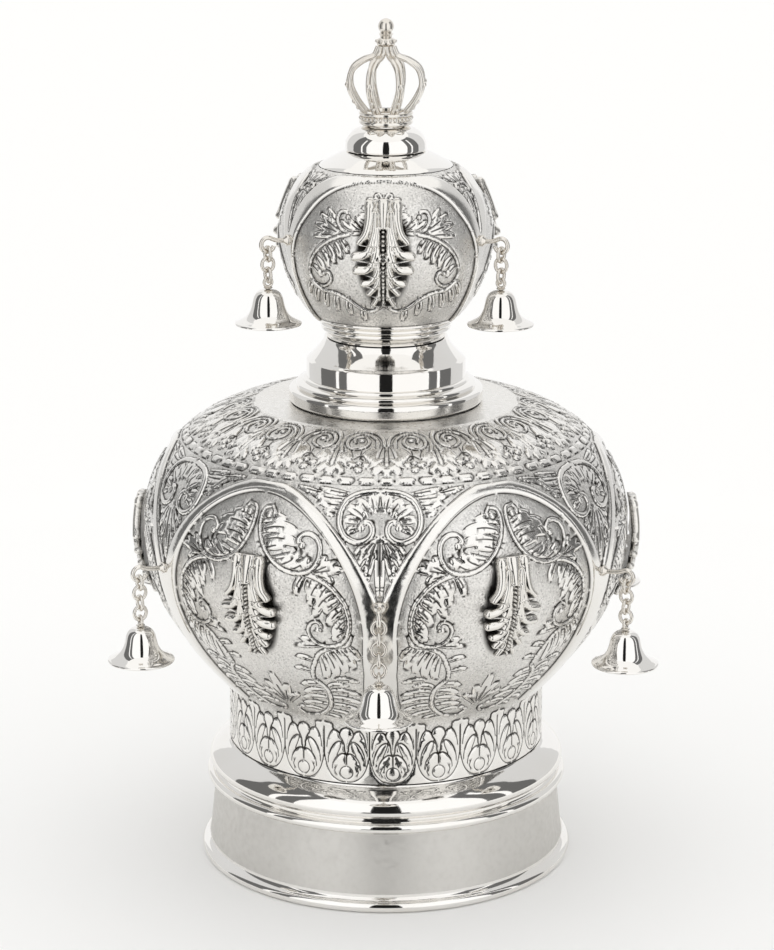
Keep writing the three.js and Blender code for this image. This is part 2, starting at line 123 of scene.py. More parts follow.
class Relief:
    """Raised strokes, leaf lobes, beads and cut lines on a flat field: across and up, in mm."""

    def __init__(self, ground=-0.3):
        self.ground = ground
        self.marks = []

    def raise_(self, path, width, lift=0.55, step=0.95, flat=0.5, line=1.0):
        path = resample(path, min(step, 0.5 * lengths(as_points(path))[-1]))
        share = np.linspace(0, 1, len(path))
        half = width(share) if callable(width) else np.full(len(path), float(width))
        self.marks.append(("raise", path, half, lift, flat, line))

    def cut(self, path, width=0.3, depth=0.22, step=0.95):
        path = resample(path, step)
        self.marks.append(("cut", path, np.full(len(path), width), depth, 0, 1))

    def bead(self, middle, radius, lift=0.6):
        self.marks.append(("bead", as_points([middle]), np.array([radius]), lift, 0, 1))

    def lobe(self, start, heading, length, width, bend, lift=0.5, slit=True, blunt=0.62):
        path = sweep(start, heading, length, bend)

        def half(t):
            swell = 0.5 + 0.5 * np.sin(math.pi * np.clip(t / (2 * blunt), 0, 0.5))
            tip = np.sqrt(np.clip(1 - ((t - blunt) / (1 - blunt + 0.12)) ** 2, 0, 1))
            return LOBE_FULLNESS * width * swell * np.where(t > blunt, tip, 1)

        self.raise_(path, half, lift, step=min(0.8, length / 6))
        self.marks[-1] = ("lobe", *self.marks[-1][1:])
        if slit:
            self.cut(part_of(path, 0.12, 0.66), 0.26, 0.2)

    def leaf(self, start, tip, width, bend=-60, lift=0.5, slit=True, blunt=0.62):
        """A lobe from start whose end is at tip."""
        reach = as_points(tip) - as_points(start)
        half = math.radians(bend) / 2
        length = float(np.linalg.norm(reach)) * (half / math.sin(half) if abs(half) > 1e-3 else 1)
        heading = math.degrees(math.atan2(reach[1], reach[0])) - bend / 2
        self.lobe(start, heading, length, width, bend, lift, slit, blunt)

    def lobe_rows(self, path, half, side):
        """A lobe's own points: its edge is followed only where no other lobe covers it."""
        wide = half[:, None]
        edge = [path + sign * side * (wide + offset) for sign in (1, -1) for offset in (0.13, 0.5)]
        edge += [path + sign * side * np.maximum(wide * 0.86, wide - 0.25) for sign in (1, -1)]
        ahead = path[-1] - path[-2]
        ahead /= max(1e-9, np.linalg.norm(ahead))
        edge += [path[-1:] + ahead * (half[-1] + 0.13), path[-1:] + ahead * (half[-1] + 0.5)]
        points = np.vstack(edge)
        covered = np.zeros(len(points), bool)
        for kind, other, other_half, *_ in self.marks:
            if kind == "lobe" and other is not path:
                if np.abs(other.mean(0) - path.mean(0)).max() < 16:
                    covered |= nearest(points, other, other_half)[0] < -0.45
        return [path[::2], points[~covered]]

    def rows(self):
        """Mesh points along every mark, the last marks first."""
        found = []
        for kind, path, half, *_ in reversed(self.marks):
            if kind == "bead":
                middle, radius = path[0], half[0]
                found.append(path)
                for share, count in ((0.55, 6), (0.92, 10)):
                    turn = np.arange(count) / count * 2 * math.pi
                    found.append(middle + radius * share * np.stack([np.cos(turn), np.sin(turn)], 1))
                turn = (np.arange(12) + 0.5) / 12 * 2 * math.pi
                found.append(middle + (radius + 0.14) * np.stack([np.cos(turn), np.sin(turn)], 1))
                found.append(middle + (radius + 0.5) * np.stack([np.cos(turn), np.sin(turn)], 1))
                continue
            side = normals(path)
            if kind == "lobe":
                found += self.lobe_rows(path, half, side)
                continue
            if kind == "cut":
                for offset in (0, 0.9 * half[0], -0.9 * half[0], half[0] + 0.28, -half[0] - 0.28):
                    found.append(path + side * offset)
                continue
            wide = half[:, None]
            found.append(path)
            for sign in (1, -1):
                found.append(path + sign * side * (wide + 0.13))
                found.append(path + sign * side * np.maximum(wide * 0.86, wide - 0.25))
                found.append(path + sign * side * (wide + 0.5))
                big = half > 0.95
                if big.any():
                    found.append((path + sign * side * wide * 0.5)[big])
            tangent = path[-1] - path[-2]
            tangent /= max(1e-9, np.linalg.norm(tangent))
            found.append(path[-1:] + tangent * (half[-1] + 0.13))
            found.append(path[-1:] + tangent * (half[-1] + 0.5))
        return found

    def fuse_lobes(self, points, high, dark, ground):
        """Lobes that touch make one leaf, with a dark line only round the whole."""
        edge = np.full(len(points), 9.0)
        for kind, path, half, lift, flat, line in self.marks:
            reach = half.max() + 0.7
            low, top = path.min(0) - reach, path.max(0) + reach
            near = np.nonzero(((points > low) & (points < top)).all(1))[0]
            if kind != "lobe" or not len(near):
                continue
            outside, across = nearest(points[near], path, half)
            round_ = np.sqrt(np.clip(1 - across ** 2, 0, 1))
            up = self.ground + lift * (flat * np.minimum(1, 1.6 * round_) + (1 - flat) * round_)
            high[near] = np.where(outside < 0, np.maximum(high[near], up), high[near])
            seam = np.clip(1 - np.abs(outside) / 0.22, 0, 1) * (edge[near] < -0.2) * 0.4
            dark[near] = np.maximum(dark[near], seam)
            edge[near] = np.minimum(edge[near], outside)
        ink = np.clip(1 - np.abs(edge - 0.12) / 0.3, 0, 1)
        high -= 0.2 * ink
        dark[:] = np.maximum(dark * (edge < 0), ink)
        ground[:] = np.where(edge < 0, 0, 1 - ink)

    def shape(self, points):
        """Height, dark patina and stippled ground at each point."""
        high = np.full(len(points), float(self.ground))
        dark = np.zeros(len(points))
        ground = np.ones(len(points))
        self.fuse_lobes(points, high, dark, ground)
        for kind, path, half, lift, flat, line in self.marks:
            reach = half.max() + 0.7
            low, top = path.min(0) - reach, path.max(0) + reach
            near = np.nonzero(((points > low) & (points < top)).all(1))[0]
            if not len(near) or kind == "lobe":
                continue
            if kind == "bead":
                gap = np.linalg.norm(points[near] - path[0], axis=1)
                outside, across = gap - half[0], gap / half[0]
            else:
                outside, across = nearest(points[near], path, half)
            if kind == "cut":
                deep = np.clip((0.17 - outside) / 0.34, 0, 1)
                high[near] -= lift * deep
                dark[near] = np.maximum(dark[near], deep)
                continue
            inside = outside < 0
            ink = np.clip(1 - np.abs(outside - 0.12) / 0.3, 0, 1) * line
            where = near[inside]
            round_ = np.sqrt(np.clip(1 - across[inside] ** 2, 0, 1))
            high[where] = self.ground + lift * (flat * np.minimum(1, 1.6 * round_) + (1 - flat) * round_)
            dark[where] = ink[inside]
            ground[where] = 0
            rim = (~inside) & (outside < 0.5)
            where = near[rim]
            sunk = np.minimum(high[where], self.ground)
            high[where] = sunk * (1 - ink[rim]) + (self.ground - 0.2) * ink[rim]
            dark[where] = np.maximum(dark[where] * 0.5, ink[rim])
            ground[where] = np.maximum(ground[where], 1 - ink[rim])
        return high, dark, ground


class Wall:
    """A bulb's wall: curves of (radius, height) joined end to end, measured by arc length."""

    def __init__(self, *curves):
        pieces = [bezier(*c, steps=80) if len(c) == 4 else resample(c, 0.5) for c in curves]
        line = np.vstack([pieces[0]] + [p[1:] for p in pieces[1:]])
        self.line = resample(line, 0.25)
        self.arc = lengths(self.line)
        slope = np.gradient(self.line, axis=0)
        slope /= np.linalg.norm(slope, axis=1)[:, None]
        self.out = np.stack([slope[:, 1], -slope[:, 0]], axis=1)

    def radius(self, arc):
        return np.interp(arc, self.arc, self.line[:, 0])

    def height(self, arc):
        return np.interp(arc, self.arc, self.line[:, 1])

    def arc_at(self, height):
        return np.interp(height, self.line[:, 1], self.arc)

    def radius_at(self, height):
        return np.interp(height, self.line[:, 1], self.line[:, 0])

    def place(self, angle, arc, lift):
        radius = self.radius(arc) + lift * np.interp(arc, self.arc, self.out[:, 0])
        height = self.height(arc) + lift * np.interp(arc, self.arc, self.out[:, 1])
        return np.stack([radius * np.sin(angle), -radius * np.cos(angle), height], axis=-1)


def keep_apart(points, cell, fixed=0):
    """Drops points that share a small square with an earlier one."""
    keep = np.ones(len(points), bool)
    for shift in (0, 0.5):
        key = np.floor(points / cell + shift).astype(np.int64)
        key = key[:, 0] * 1000003 + key[:, 1]
        live = np.nonzero(keep)[0]
        _, first = np.unique(key[live], return_index=True)
        keep[:] = False
        keep[live[first]] = True
        keep[:fixed] = True
    return keep


def chased_sector(wall, low, high, half_angle, shape_at, rows, spacing=1.55, cell=0.24, edge_step=1.0):
    """Triangles of half a repeat, from its middle (angle 0) to its side (half_angle).

    shape_at takes (across, arc) in mm and gives height, dark and ground. rows are lists of points
    that the mesh has to follow.
    """
    scale = wall.radius(np.array([low, high, (low + high) / 2])).max()
    count = int(round((high - low) / edge_step)) + 1
    arcs = np.linspace(low, high, count)
    across_count = max(3, int(round(half_angle * scale / edge_step)) + 1)
    angles = np.linspace(0, half_angle, across_count)[1:-1]
    border = np.vstack([
        np.stack([np.zeros(count), arcs], 1), np.stack([np.full(count, half_angle), arcs], 1),
        np.stack([angles, np.full(len(angles), low)], 1),
        np.stack([angles, np.full(len(angles), high)], 1)])
    inner = [border * [scale, 1]]
    inside = 0.28
    for row in rows:
        row = as_points(row)
        angle = row[:, 0] / wall.radius(row[:, 1])
        spot = np.stack([angle * scale, row[:, 1]], 1)
        inner.append(spot[(spot[:, 0] > inside) & (spot[:, 0] < half_angle * scale - inside)
                          & (spot[:, 1] > low + inside) & (spot[:, 1] < high - inside)])
    marks = np.vstack(inner)
    marks = marks[keep_apart(marks, cell, len(border))]
    nx, ny = int(half_angle * scale / spacing) + 2, int((high - low) / (spacing * 0.87)) + 2
    gx, gy = np.meshgrid(np.arange(nx), np.arange(ny))
    fill = np.stack([(gx + 0.5 * (gy % 2)) * spacing, low + gy * spacing * 0.87], -1).reshape(-1, 2)
    fill = fill + rng.uniform(-0.18, 0.18, fill.shape) * spacing
    fill = fill[(fill[:, 0] > 0.6) & (fill[:, 0] < half_angle * scale - 0.6)
                & (fill[:, 1] > low + 0.6) & (fill[:, 1] < high - 0.6)]
    coarse = 0.62 * spacing
    taken = set(map(tuple, np.floor(marks / coarse).astype(int)))
    free = [tuple(c) not in taken for c in np.floor(fill / coarse).astype(int)]
    flat = np.vstack([marks, fill[free]])
    result = geometry.delaunay_2d_cdt([Vector(p) for p in flat.tolist()], [], [], 0, 1e-5)
    spots = np.array([tuple(v) for v in result[0]])
    faces = np.array([f for f in result[2] if len(f) == 3], int)
    angle, arc = spots[:, 0] / scale, spots[:, 1]
    height, dark, ground = shape_at(np.stack([angle * wall.radius(arc), arc], 1))
    corner = spots[faces]
    one, other = corner[:, 1] - corner[:, 0], corner[:, 2] - corner[:, 0]
    area = one[:, 0] * other[:, 1] - one[:, 1] * other[:, 0]
    faces[area < 0] = faces[area < 0][:, ::-1]
    faces = faces[np.abs(area) > 1e-7]
    return angle, arc, height, dark, ground, faces


def repeat_sector(wall, sector, middles):
    """Mirrors and repeats a half sector round the axis, and welds the seams."""
    angle, arc, height, dark, ground, faces = sector
    places, tris, darks, grounds = [], [], [], []
    count = 0
    for middle in middles:
        for side in (1, -1):
            places.append(wall.place(middle + side * angle, arc, height))
            tris.append((faces if side == 1 else faces[:, ::-1]) + count)
            darks.append(dark)
            grounds.append(ground)
            count += len(angle)
    places = np.vstack(places)
    key = np.round(places / 0.004).astype(np.int64)
    _, first, back = np.unique(key, axis=0, return_index=True, return_inverse=True)
    back = back.reshape(-1)
    tris = back[np.vstack(tris)]
    good = (tris[:, 0] != tris[:, 1]) & (tris[:, 1] != tris[:, 2]) & (tris[:, 0] != tris[:, 2])
    return places[first], tris[good], np.concatenate(darks)[first], np.concatenate(grounds)[first]


# ---------------------------------------------------------------- mesh objects


def new_object(name, places, faces, material, stands_for=(), fields=None, crease=None):
    """places in mm. Rides on the body, takes a finish slot and may stand for CAD nodes."""
    mesh = bpy.data.meshes.new(name)
    mesh.from_pydata((as_points(places) * MM).tolist(), [], [list(map(int, f)) for f in faces])
    for field, values in (fields or {}).items():
        mesh.attributes.new(field, "FLOAT", "POINT").data.foreach_set("value",
                                                                      np.asarray(values, np.float32))
    mesh.polygons.foreach_set("use_smooth", [True] * len(mesh.polygons))
    if crease:
        mesh.set_sharp_from_angle(angle=math.radians(crease))
    mesh.materials.append(material)
    mesh.update()
    made = bpy.data.objects.new(name, mesh)
    bpy.context.scene.collection.objects.link(made)
    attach(made, "root")
    if stands_for:
        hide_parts(*stands_for)
    return made


def turned(profile, segments, closed=True):
    """A profile of (radius, height) turned round the Z axis; radius 0 becomes a pole."""
    profile = as_points(profile)
    turn = np.arange(segments) / segments * 2 * math.pi
    places, rings = [], []
    for radius, height in profile:
        if radius < 1e-6:
            rings.append([len(places)] * segments)
            places.append((0, 0, height))
        else:
            rings.append(list(range(len(places), len(places) + segments)))
            places += [(radius * math.sin(a), -radius * math.cos(a), height) for a in turn]
    faces = []
    loop = len(rings) if closed else len(rings) - 1
    for k in range(loop):
        low, high = rings[k], rings[(k + 1) % len(rings)]
        for i in range(segments):
            j = (i + 1) % segments
            face = [low[i], low[j], high[j], high[i]]
            face = [v for n, v in enumerate(face) if v != face[n - 1]]
            if len(set(face)) >= 3:
                faces.append(face)
    return np.array(places), faces


def tube(path, radius, sides=8, closed=False, flat=1.0):
    """A wire along a path in space; radius may vary. Ends are capped."""
    path = as_points(path)
    count = len(path)
    if closed:
        tangent = np.roll(path, -1, 0) - np.roll(path, 1, 0)
    else:
        tangent = np.gradient(path, axis=0)
    tangent /= np.linalg.norm(tangent, axis=1)[:, None]
    radius = np.broadcast_to(radius, (count,))
    guide = np.array([0, 0, 1.0]) if abs(tangent[0][2]) < 0.9 else np.array([1.0, 0, 0])
    side = np.cross(tangent[0], guide)
    side /= np.linalg.norm(side)
    places = []
    for k in range(count):
        side = side - tangent[k] * side.dot(tangent[k])
        side /= np.linalg.norm(side)
        up = np.cross(tangent[k], side)
        for s in range(sides):
            turn = 2 * math.pi * s / sides
            places.append(path[k] + radius[k] * (math.cos(turn) * side + flat * math.sin(turn) * up))
    faces = []
    for k in range(count if closed else count - 1):
        for s in range(sides):
            a, b = k * sides + s, k * sides + (s + 1) % sides
            c, d = (k + 1) % count * sides + (s + 1) % sides, (k + 1) % count * sides + s
            faces.append([a, b, c, d])
    if not closed:
        faces.append(list(range(sides))[::-1])
        faces.append([(count - 1) * sides + s for s in range(sides)])
    return np.array(places), faces


def ball(middle, radius, rings=7, segments=12, squash=1.0):
    turn = np.linspace(-math.pi / 2, math.pi / 2, rings)
    profile = [(max(0, radius * math.cos(t)), radius * squash * math.sin(t)) for t in turn]
    profile[0] = (0, profile[0][1])
    profile[-1] = (0, profile[-1][1])
    places, faces = turned(profile, segments, closed=False)
    return places + as_points(middle), faces


def joined(parts):
    places, faces, count = [], [], 0
    for p, f in parts:
        places.append(as_points(p))
        faces += [[v + count for v in face] for face in f]
        count += len(p)
    return np.vstack(places), faces


def turned_about(places, angle):
    c, s = math.cos(angle), math.sin(angle)
    p = as_points(places)
    return np.stack([p[:, 0] * c - p[:, 1] * s, p[:, 0] * s + p[:, 1] * c, p[:, 2]], 1)


def arc_points(middle, radius, first, last, steps=8):
    turn = np.radians(np.linspace(first, last, steps + 1))
    return [(middle[0] + radius * math.cos(t), middle[1] + radius * math.sin(t)) for t in turn]

# ---------------------------------------------------------------- silver


class Shader:
    """A node material with a metal shader."""

    def __init__(self, name):
        self.material = bpy.data.materials.new(name)
        self.material.use_nodes = True
        self.tree = self.material.node_tree
        self.tree.nodes.clear()
        self.out = self.tree.nodes.new("ShaderNodeOutputMaterial")
        self.metal = self.tree.nodes.new("ShaderNodeBsdfPrincipled")
        self.metal.inputs["Metallic"].default_value = 1.0
        self.tree.links.new(self.metal.outputs[0], self.out.inputs[0])
        self.where = self.tree.nodes.new("ShaderNodeTexCoord").outputs["Object"]

    def link(self, source, target):
        self.tree.links.new(source, target)

    def noise(self, scale, detail=2.0, stretch=None):
        node = self.tree.nodes.new("ShaderNodeTexNoise")
        node.inputs["Scale"].default_value = scale
        node.inputs["Detail"].default_value = detail
        where = self.where
        if stretch:
            mapping = self.tree.nodes.new("ShaderNodeMapping")
            mapping.inputs["Scale"].default_value = stretch
            self.link(where, mapping.inputs[0])
            where = mapping.outputs[0]
        self.link(where, node.inputs["Vector"])
        return node.outputs["Fac"]

    def cells(self, scale):
        node = self.tree.nodes.new("ShaderNodeTexVoronoi")
        node.inputs["Scale"].default_value = scale
        self.link(self.where, node.inputs["Vector"])
        return node.outputs["Distance"]

    def field(self, name):
        node = self.tree.nodes.new("ShaderNodeAttribute")
        node.attribute_name = name
        return node.outputs["Fac"]

    def math(self, kind, a, b=None, clamp=False):
        node = self.tree.nodes.new("ShaderNodeMath")
        node.operation = kind
        node.use_clamp = clamp
        for value, socket in ((a, node.inputs[0]), (b, node.inputs[1])):
            if value is None:
                continue
            if isinstance(value, (int, float)):
                socket.default_value = value
            else:
                self.link(value, socket)
        return node.outputs[0]

    def span(self, value, low, high, to_low, to_high):
        node = self.tree.nodes.new("ShaderNodeMapRange")
        for socket, number in zip(("From Min", "From Max", "To Min", "To Max"),
                                  (low, high, to_low, to_high)):
            node.inputs[socket].default_value = number
        self.link(value, node.inputs["Value"])
        return node.outputs[0]

    def blend(self, share, one, other):
        node = self.tree.nodes.new("ShaderNodeMix")
        node.data_type = "RGBA"
        self.link(share, node.inputs[0])
        for value, socket in ((one, node.inputs[6]), (other, node.inputs[7])):
            if isinstance(value, tuple):
                socket.default_value = (*value, 1)
            else:
                self.link(value, socket)
        return node.outputs[2]

    def bump(self, height, depth, before=None):
        node = self.tree.nodes.new("ShaderNodeBump")
        node.inputs["Strength"].default_value = 1.0
        node.inputs["Distance"].default_value = depth
        self.link(height, node.inputs["Height"])
        if before:
            self.link(before, node.inputs["Normal"])
        return node.outputs[0]


def polished_silver(name, bright, warm, rough, waviness):
    s = Shader(name)
    tone = s.span(s.noise(22, 3), 0.35, 0.65, 0, 1)
    s.link(s.blend(tone, bright, warm), s.metal.inputs["Base Color"])
    s.link(s.span(s.noise(420, 4), 0.3, 0.7, rough * 0.7, rough * 1.35), s.metal.inputs["Roughness"])
    waves = s.bump(s.noise(34, 1), waviness * MM)
    hairs = s.bump(s.noise(900, 3, (1, 1, 0.12)), 0.0006 * MM, waves)
    s.link(hairs, s.metal.inputs["Normal"])
    return s.material


def chased_silver(name, bright, warm, patina_and_shade, rough, stipple, ground_tone=0.3):
    s = Shader(name)
    dark, ground = s.field("dark"), s.field("ground")
    tone = s.span(s.noise(26, 3), 0.35, 0.65, 0, 1)
    silver = s.blend(tone, bright, warm)
    pits = s.span(s.cells(760), 0.1, 0.42, 1, 0)
    grain = s.span(s.noise(1300, 2), 0.4, 0.62, 0, 1)
    specks = s.math("ADD", s.math("MULTIPLY", pits, 0.6), s.math("MULTIPLY", grain, 0.4))
    dirt = s.math("MULTIPLY", specks, ground)
    worn = s.span(s.noise(60, 2), 0.35, 0.7, 0.55, 1.1)
    soot = s.math("MULTIPLY", dirt, s.math("MULTIPLY", worn, ground_tone))
    # The dark field holds patina in the cut lines and also painted shade behind and on the applied leaves;
    # both blend the silver towards the dark colour.
    lines = s.math("MULTIPLY", s.span(dark, 0.12, 0.72, 0, 1), s.span(s.noise(180, 2), 0.3, 0.6, 0.8, 1))
    share = s.math("MAXIMUM", soot, lines, clamp=True)
    s.link(s.blend(share, silver, patina_and_shade), s.metal.inputs["Base Color"])
    smooth = s.span(s.noise(380, 3), 0.3, 0.7, rough * 0.75, rough * 1.3)
    matte = s.math("ADD", smooth, s.math("MULTIPLY", ground, 0.13))
    s.link(s.math("ADD", matte, s.math("MULTIPLY", share, 0.28), clamp=True), s.metal.inputs["Roughness"])
    punch = s.math("MULTIPLY", s.math("SUBTRACT", grain, pits), ground)
    first = s.bump(s.noise(70, 2), 0.05 * MM)
    s.link(s.bump(punch, stipple * MM, first), s.metal.inputs["Normal"])
    return s.material


POLISHED = polished_silver("polished_silver", (0.90, 0.885, 0.86), (0.86, 0.84, 0.805), 0.055, 0.02)
SATIN = polished_silver("satin_silver", (0.84, 0.825, 0.795), (0.81, 0.79, 0.755), 0.30, 0.01)
# Painted shade: a darker copy of the polished silver, standing in for the grey that the foot band reflects,
# with a rougher satin finish.
SHADED_BAND = polished_silver("shaded_band_silver", (0.70, 0.685, 0.655), (0.68, 0.665, 0.635), 0.42, 0.006)
WIRE = polished_silver("wire_silver", (0.84, 0.81, 0.76), (0.74, 0.70, 0.64), 0.14, 0.01)
CHASED = chased_silver("chased_silver", (0.88, 0.865, 0.835), (0.83, 0.81, 0.775), (0.022, 0.018, 0.014),
                       0.15, 0.06, 0.5)
CAST = chased_silver("cast_silver", (0.86, 0.84, 0.80), (0.78, 0.755, 0.71), (0.012, 0.010, 0.008), 0.13,
                     0.03, 0.9)

# ---------------------------------------------------------------- sizes shared with the CAD model

COLLAR_RADIUS = 70.4
WAIST_HEIGHT = 77
SHOULDER_HEIGHT = 207.4
SHOULDER_RADIUS = 57
BORDER_HEIGHT = 192.3
RIB_LIFT = 1.1
BELL_RADIUS = 14.3
BELL_HEIGHT = 15.4
EYE_RADIUS = 3.0
EYE_WIRE = 2.0
LINK_WIRE = 1.6
LINK_HALF = (2.75, 3.0)
LINK_PITCH = 4.52
PIN_LOOP = 1.9
PIN_WIRE = 1.3

large_wall = Wall(
    ((COLLAR_RADIUS, 54.3), (COLLAR_RADIUS, WAIST_HEIGHT)),
    ((COLLAR_RADIUS, WAIST_HEIGHT), (COLLAR_RADIUS, 79.8), (71.4, 81.8), (73.2, 84)),
    ((73.2, 84), (81.1, 93.1), (107.2, 117.4), (107.2, 150)),
    ((107.2, 150), (107.2, 191.6), (77.2, 203.1), (SHOULDER_RADIUS, SHOULDER_HEIGHT)))
small_wall = Wall(
    ((32.6, 246.4), (38.8, 251.1), (46.6, 269.7), (46.6, 281)),
    ((46.6, 281), (46.6, 286.6), (44.6, 303.8), (28.7, 311)))

# ---------------------------------------------------------------- foot and turned pieces


def make_foot():
    outer = [(80.2, 0), (81.2, 0)] + arc_points((81.2, 2.4), 2.4, -90, 72, 10)
    outer += [(80.9, 5.3), (80.1, 6.2), (79.9, 7.4), (78.5, 20), (77.2, 32.8), (77.1, 34.2), (77.5, 34.9)]
    outer += arc_points((78.5, 37.4), 2.35, -92, 96, 10) + [(77.4, 40.5), (77.3, 41.2)]
    outer += spline([(77.5, 41.6), (79.1, 42.7), (79.7, 44.7), (78.7, 47.4), (76, 50.2), (73.4, 52.2),
                     (71.6, 53.4)], 5).tolist() + [(71.2, 54), (66, 54)]
    inner = [(66, 52.6), (72, 50.9), (75.6, 48.4), (77, 45.6), (76.6, 43.4), (75.4, 41), (75.6, 34),
             (78.2, 8), (79, 2.4), (79.4, 0.8)]
    places, faces = turned(outer + inner, 180)
    made = new_object("foot_shell", places, faces, POLISHED, ["foot"], crease=32)
    # The outer faces of the foot band take the darker silver copy: painted shade.
    made.data.materials.append(SHADED_BAND)
    for face in made.data.polygons:
        if 7 * MM < face.center.z < 34 * MM and face.normal.xy.dot(face.center.xy) > 0:
            face.material_index = 1
    return made


def make_neck():
    outer = [(27, 207.7), (41.6, 207.7)] + arc_points((41.1, 209.2), 1.4, -60, 0, 4)
    outer += [(42.5, 212.2)] + arc_points((41.0, 212.6), 1.5, 0, 80, 5) + [(39.6, 214.2)]
    outer += arc_points((38.2, 215.4), 1.2, -60, 60, 6) + [(37.4, 216.8), (36.6, 217.2)]
    outer += arc_points((35.4, 217.6), 1.0, -20, 60, 4) + [(34.9, 218.8), (34.8, 225.4)]
    outer += [(34.6, 226.2), (33.9, 226.9)]
    outer += spline([(33.6, 227.1), (31.4, 229.4), (29.2, 232.0), (27.4, 234.6), (26.9, 236)], 4).tolist()
    inner = [(24.4, 236.1), (32.6, 225), (32.8, 211), (27, 209.4)]
    places, faces = turned(outer + inner, 144)
    return new_object("neck_shell", places, faces, POLISHED, ["neck_collar"], crease=30)


def make_dome():
    outer = [(15.6, 317.4), (17.1, 317.4), (17.5, 317.9)]
    outer += spline([(17.5, 318.4), (17.2, 321.2), (15.6, 324.1), (12.9, 326.4), (9.4, 327.7), (5.4, 328)],
                    6).tolist()
    inner = [(5, 326.6), (9, 326.2), (12.2, 324.8), (14.6, 322.4), (15.6, 319.6)]
    places, faces = turned(outer + inner, 96)
    return new_object("dome_shell", places, faces, POLISHED, ["dome_knob"], crease=40)


make_foot()
make_neck()
make_dome()

# ---------------------------------------------------------------- bells, pins, chains and eyes


def outward(places, reach, angle):
    """Moves a piece made round the Z axis out to its place in front of a rib."""
    return turned_about(as_points(places) + (0, -reach, 0), angle)


def bell_profile(mouth):
    outer = [(13.5, 0), (14.1, 0.1), (14.3, 0.5), (14.2, 0.9), (13.7, 1.15)]
    outer += spline([(13.4, 1.25), (12.2, 1.9), (10.4, 2.9), (8.9, 4.2), (7.8, 6), (7.1, 8), (6.65, 10),
                     (6.1, 12), (5.1, 13.7), (3.5, 14.8), (1.8, 15.2)], 4).tolist() + [(1.0, 15.3)]
    inner = [(1.0, 14.4)] + spline([(3.2, 13.9), (4.9, 12.2), (5.7, 10), (6.2, 8), (6.9, 6), (8.1, 3.9),
                                    (10, 2.2), (12, 0.9)], 3).tolist()
    return [(r, z + mouth) for r, z in outer + inner]


def make_bell(name, node, reach, crown, angle):
    places, faces = turned(bell_profile(crown - BELL_HEIGHT), 48)
    return new_object(name, outward(places, reach, angle), faces, POLISHED, [node],
                      crease=50)


def make_pin(name, node, reach, hang, links, angle):
    middle = hang + 0.3 - (PIN_LOOP - PIN_WIRE / 2)
    turn = np.linspace(0, 2 * math.pi, 19)[:-1]
    flat = np.zeros_like(turn)
    across, along = (flat, PIN_LOOP * np.cos(turn)) if links % 2 else (PIN_LOOP * np.cos(turn), flat)
    loop = tube(np.stack([across, along, middle + PIN_LOOP * np.sin(turn)], 1), PIN_WIRE / 2, 8,
                closed=True)
    shank = middle - PIN_LOOP
    stem = [(0, shank - 9), (1.2, shank - 8.6), (1.9, shank - 7.3), (1.4, shank - 6), (0.7, shank - 5.2),
            (0.6, shank - 1.2), (0.6, shank - 0.6), (0.62, shank + 0.2), (0, shank + 0.4)]
    stud = [(0.62, shank - 0.7), (1.7, shank - 0.7), (2.0, shank - 0.35), (1.7, shank),
            (0.62, shank + 0.05)]
    places, faces = joined([loop, turned(stem, 12, closed=False), turned(stud, 14)])
    return new_object(name, outward(places, reach, angle), faces, WIRE, [node], crease=60)


def make_chain(name, node, reach, eye_height, links, angle):
    first = eye_height - (EYE_RADIUS - EYE_WIRE / 2) - 2.2 + 0.3
    turn = np.linspace(0, 2 * math.pi, 25)[:-1]
    parts = []
    for index in range(links):
        across, up = LINK_HALF[0] * np.cos(turn), LINK_HALF[1] * np.sin(turn) + first - LINK_PITCH * index
        flat = np.zeros_like(turn)
        loop = (across, flat, up) if index % 2 == 0 else (flat, across, up)
        parts.append(tube(np.stack(loop, 1), LINK_WIRE / 2, 8, closed=True))
    places, faces = joined(parts)
    made = new_object(name, outward(places, reach, angle), faces, WIRE, [node])
    return made, first - LINK_PITCH * (links - 1) - 2.2


def make_eye(name, node, wall_radius, reach, height, angle):
    out = wall_radius + reach
    turn = np.radians(np.linspace(62, 62 + 285, 30))
    loop = [(0, -(out - EYE_RADIUS * math.cos(t)), height + EYE_RADIUS * math.sin(t)) for t in turn]
    start = wall_radius + 0.6
    lead = bezier((start, height + 1.2), (start + 4.5, height + 1.2),
                  (out - EYE_RADIUS * math.cos(turn[0]) - 2.6,
                   height + EYE_RADIUS * math.sin(turn[0]) - 1.3),
                  (-loop[0][1], loop[0][2]), 10)[:-1]
    path = [(0, -r, z) for r, z in lead] + loop
    wire = tube(path, EYE_WIRE / 2, 10)
    ring = [(r, z) for r, z in ((0.9, 0), (2.3, 0.2), (2.5, 0.9), (2.1, 1.5), (1.5, 1.9), (1.2, 2.6),
                                (0.9, 2.7))]
    socket, faces = turned(ring, 20, closed=True)
    socket = np.stack([socket[:, 0], -(wall_radius + 0.5 + socket[:, 2]), height + 1.2 + socket[:, 1]], 1)
    places, faces = joined([wire, (socket, [f[::-1] for f in faces])])
    return new_object(name, turned_about(places, angle), faces, WIRE, [node], crease=60)


def hang_bell(kind, number, degrees_, wall_radius, reach, eye_height, links):
    angle, out = math.radians(degrees_), wall_radius + reach
    make_eye(f"{kind}_hook_{number}", f"{kind}_eye_{number}", wall_radius, reach, eye_height, angle)
    _, hang = make_chain(f"{kind}_links_{number}", f"{kind}_chain_{number}", out, eye_height, links, angle)
    make_pin(f"{kind}_clapper_{number}", f"{kind}_pin_{number}", out, hang, links, angle)
    crown = hang + 0.3 - (PIN_LOOP - PIN_WIRE / 2) - PIN_LOOP - PIN_WIRE / 2 - 0.3
    make_bell(f"{kind}_bell_shell_{number}", f"{kind}_bell_{number}", out, crown, angle)


for index in range(6):
    hang_bell("large", index + 1, 60 * index, 107.2, 12.2, 144.8, 5 if index == 0 else 4)
for index in range(3):
    hang_bell("small", index + 1, 60 + 120 * index, 46.6, 10.4, 281, 3)
# ---------------------------------------------------------------- large bulb: ribs, panels and spandrels

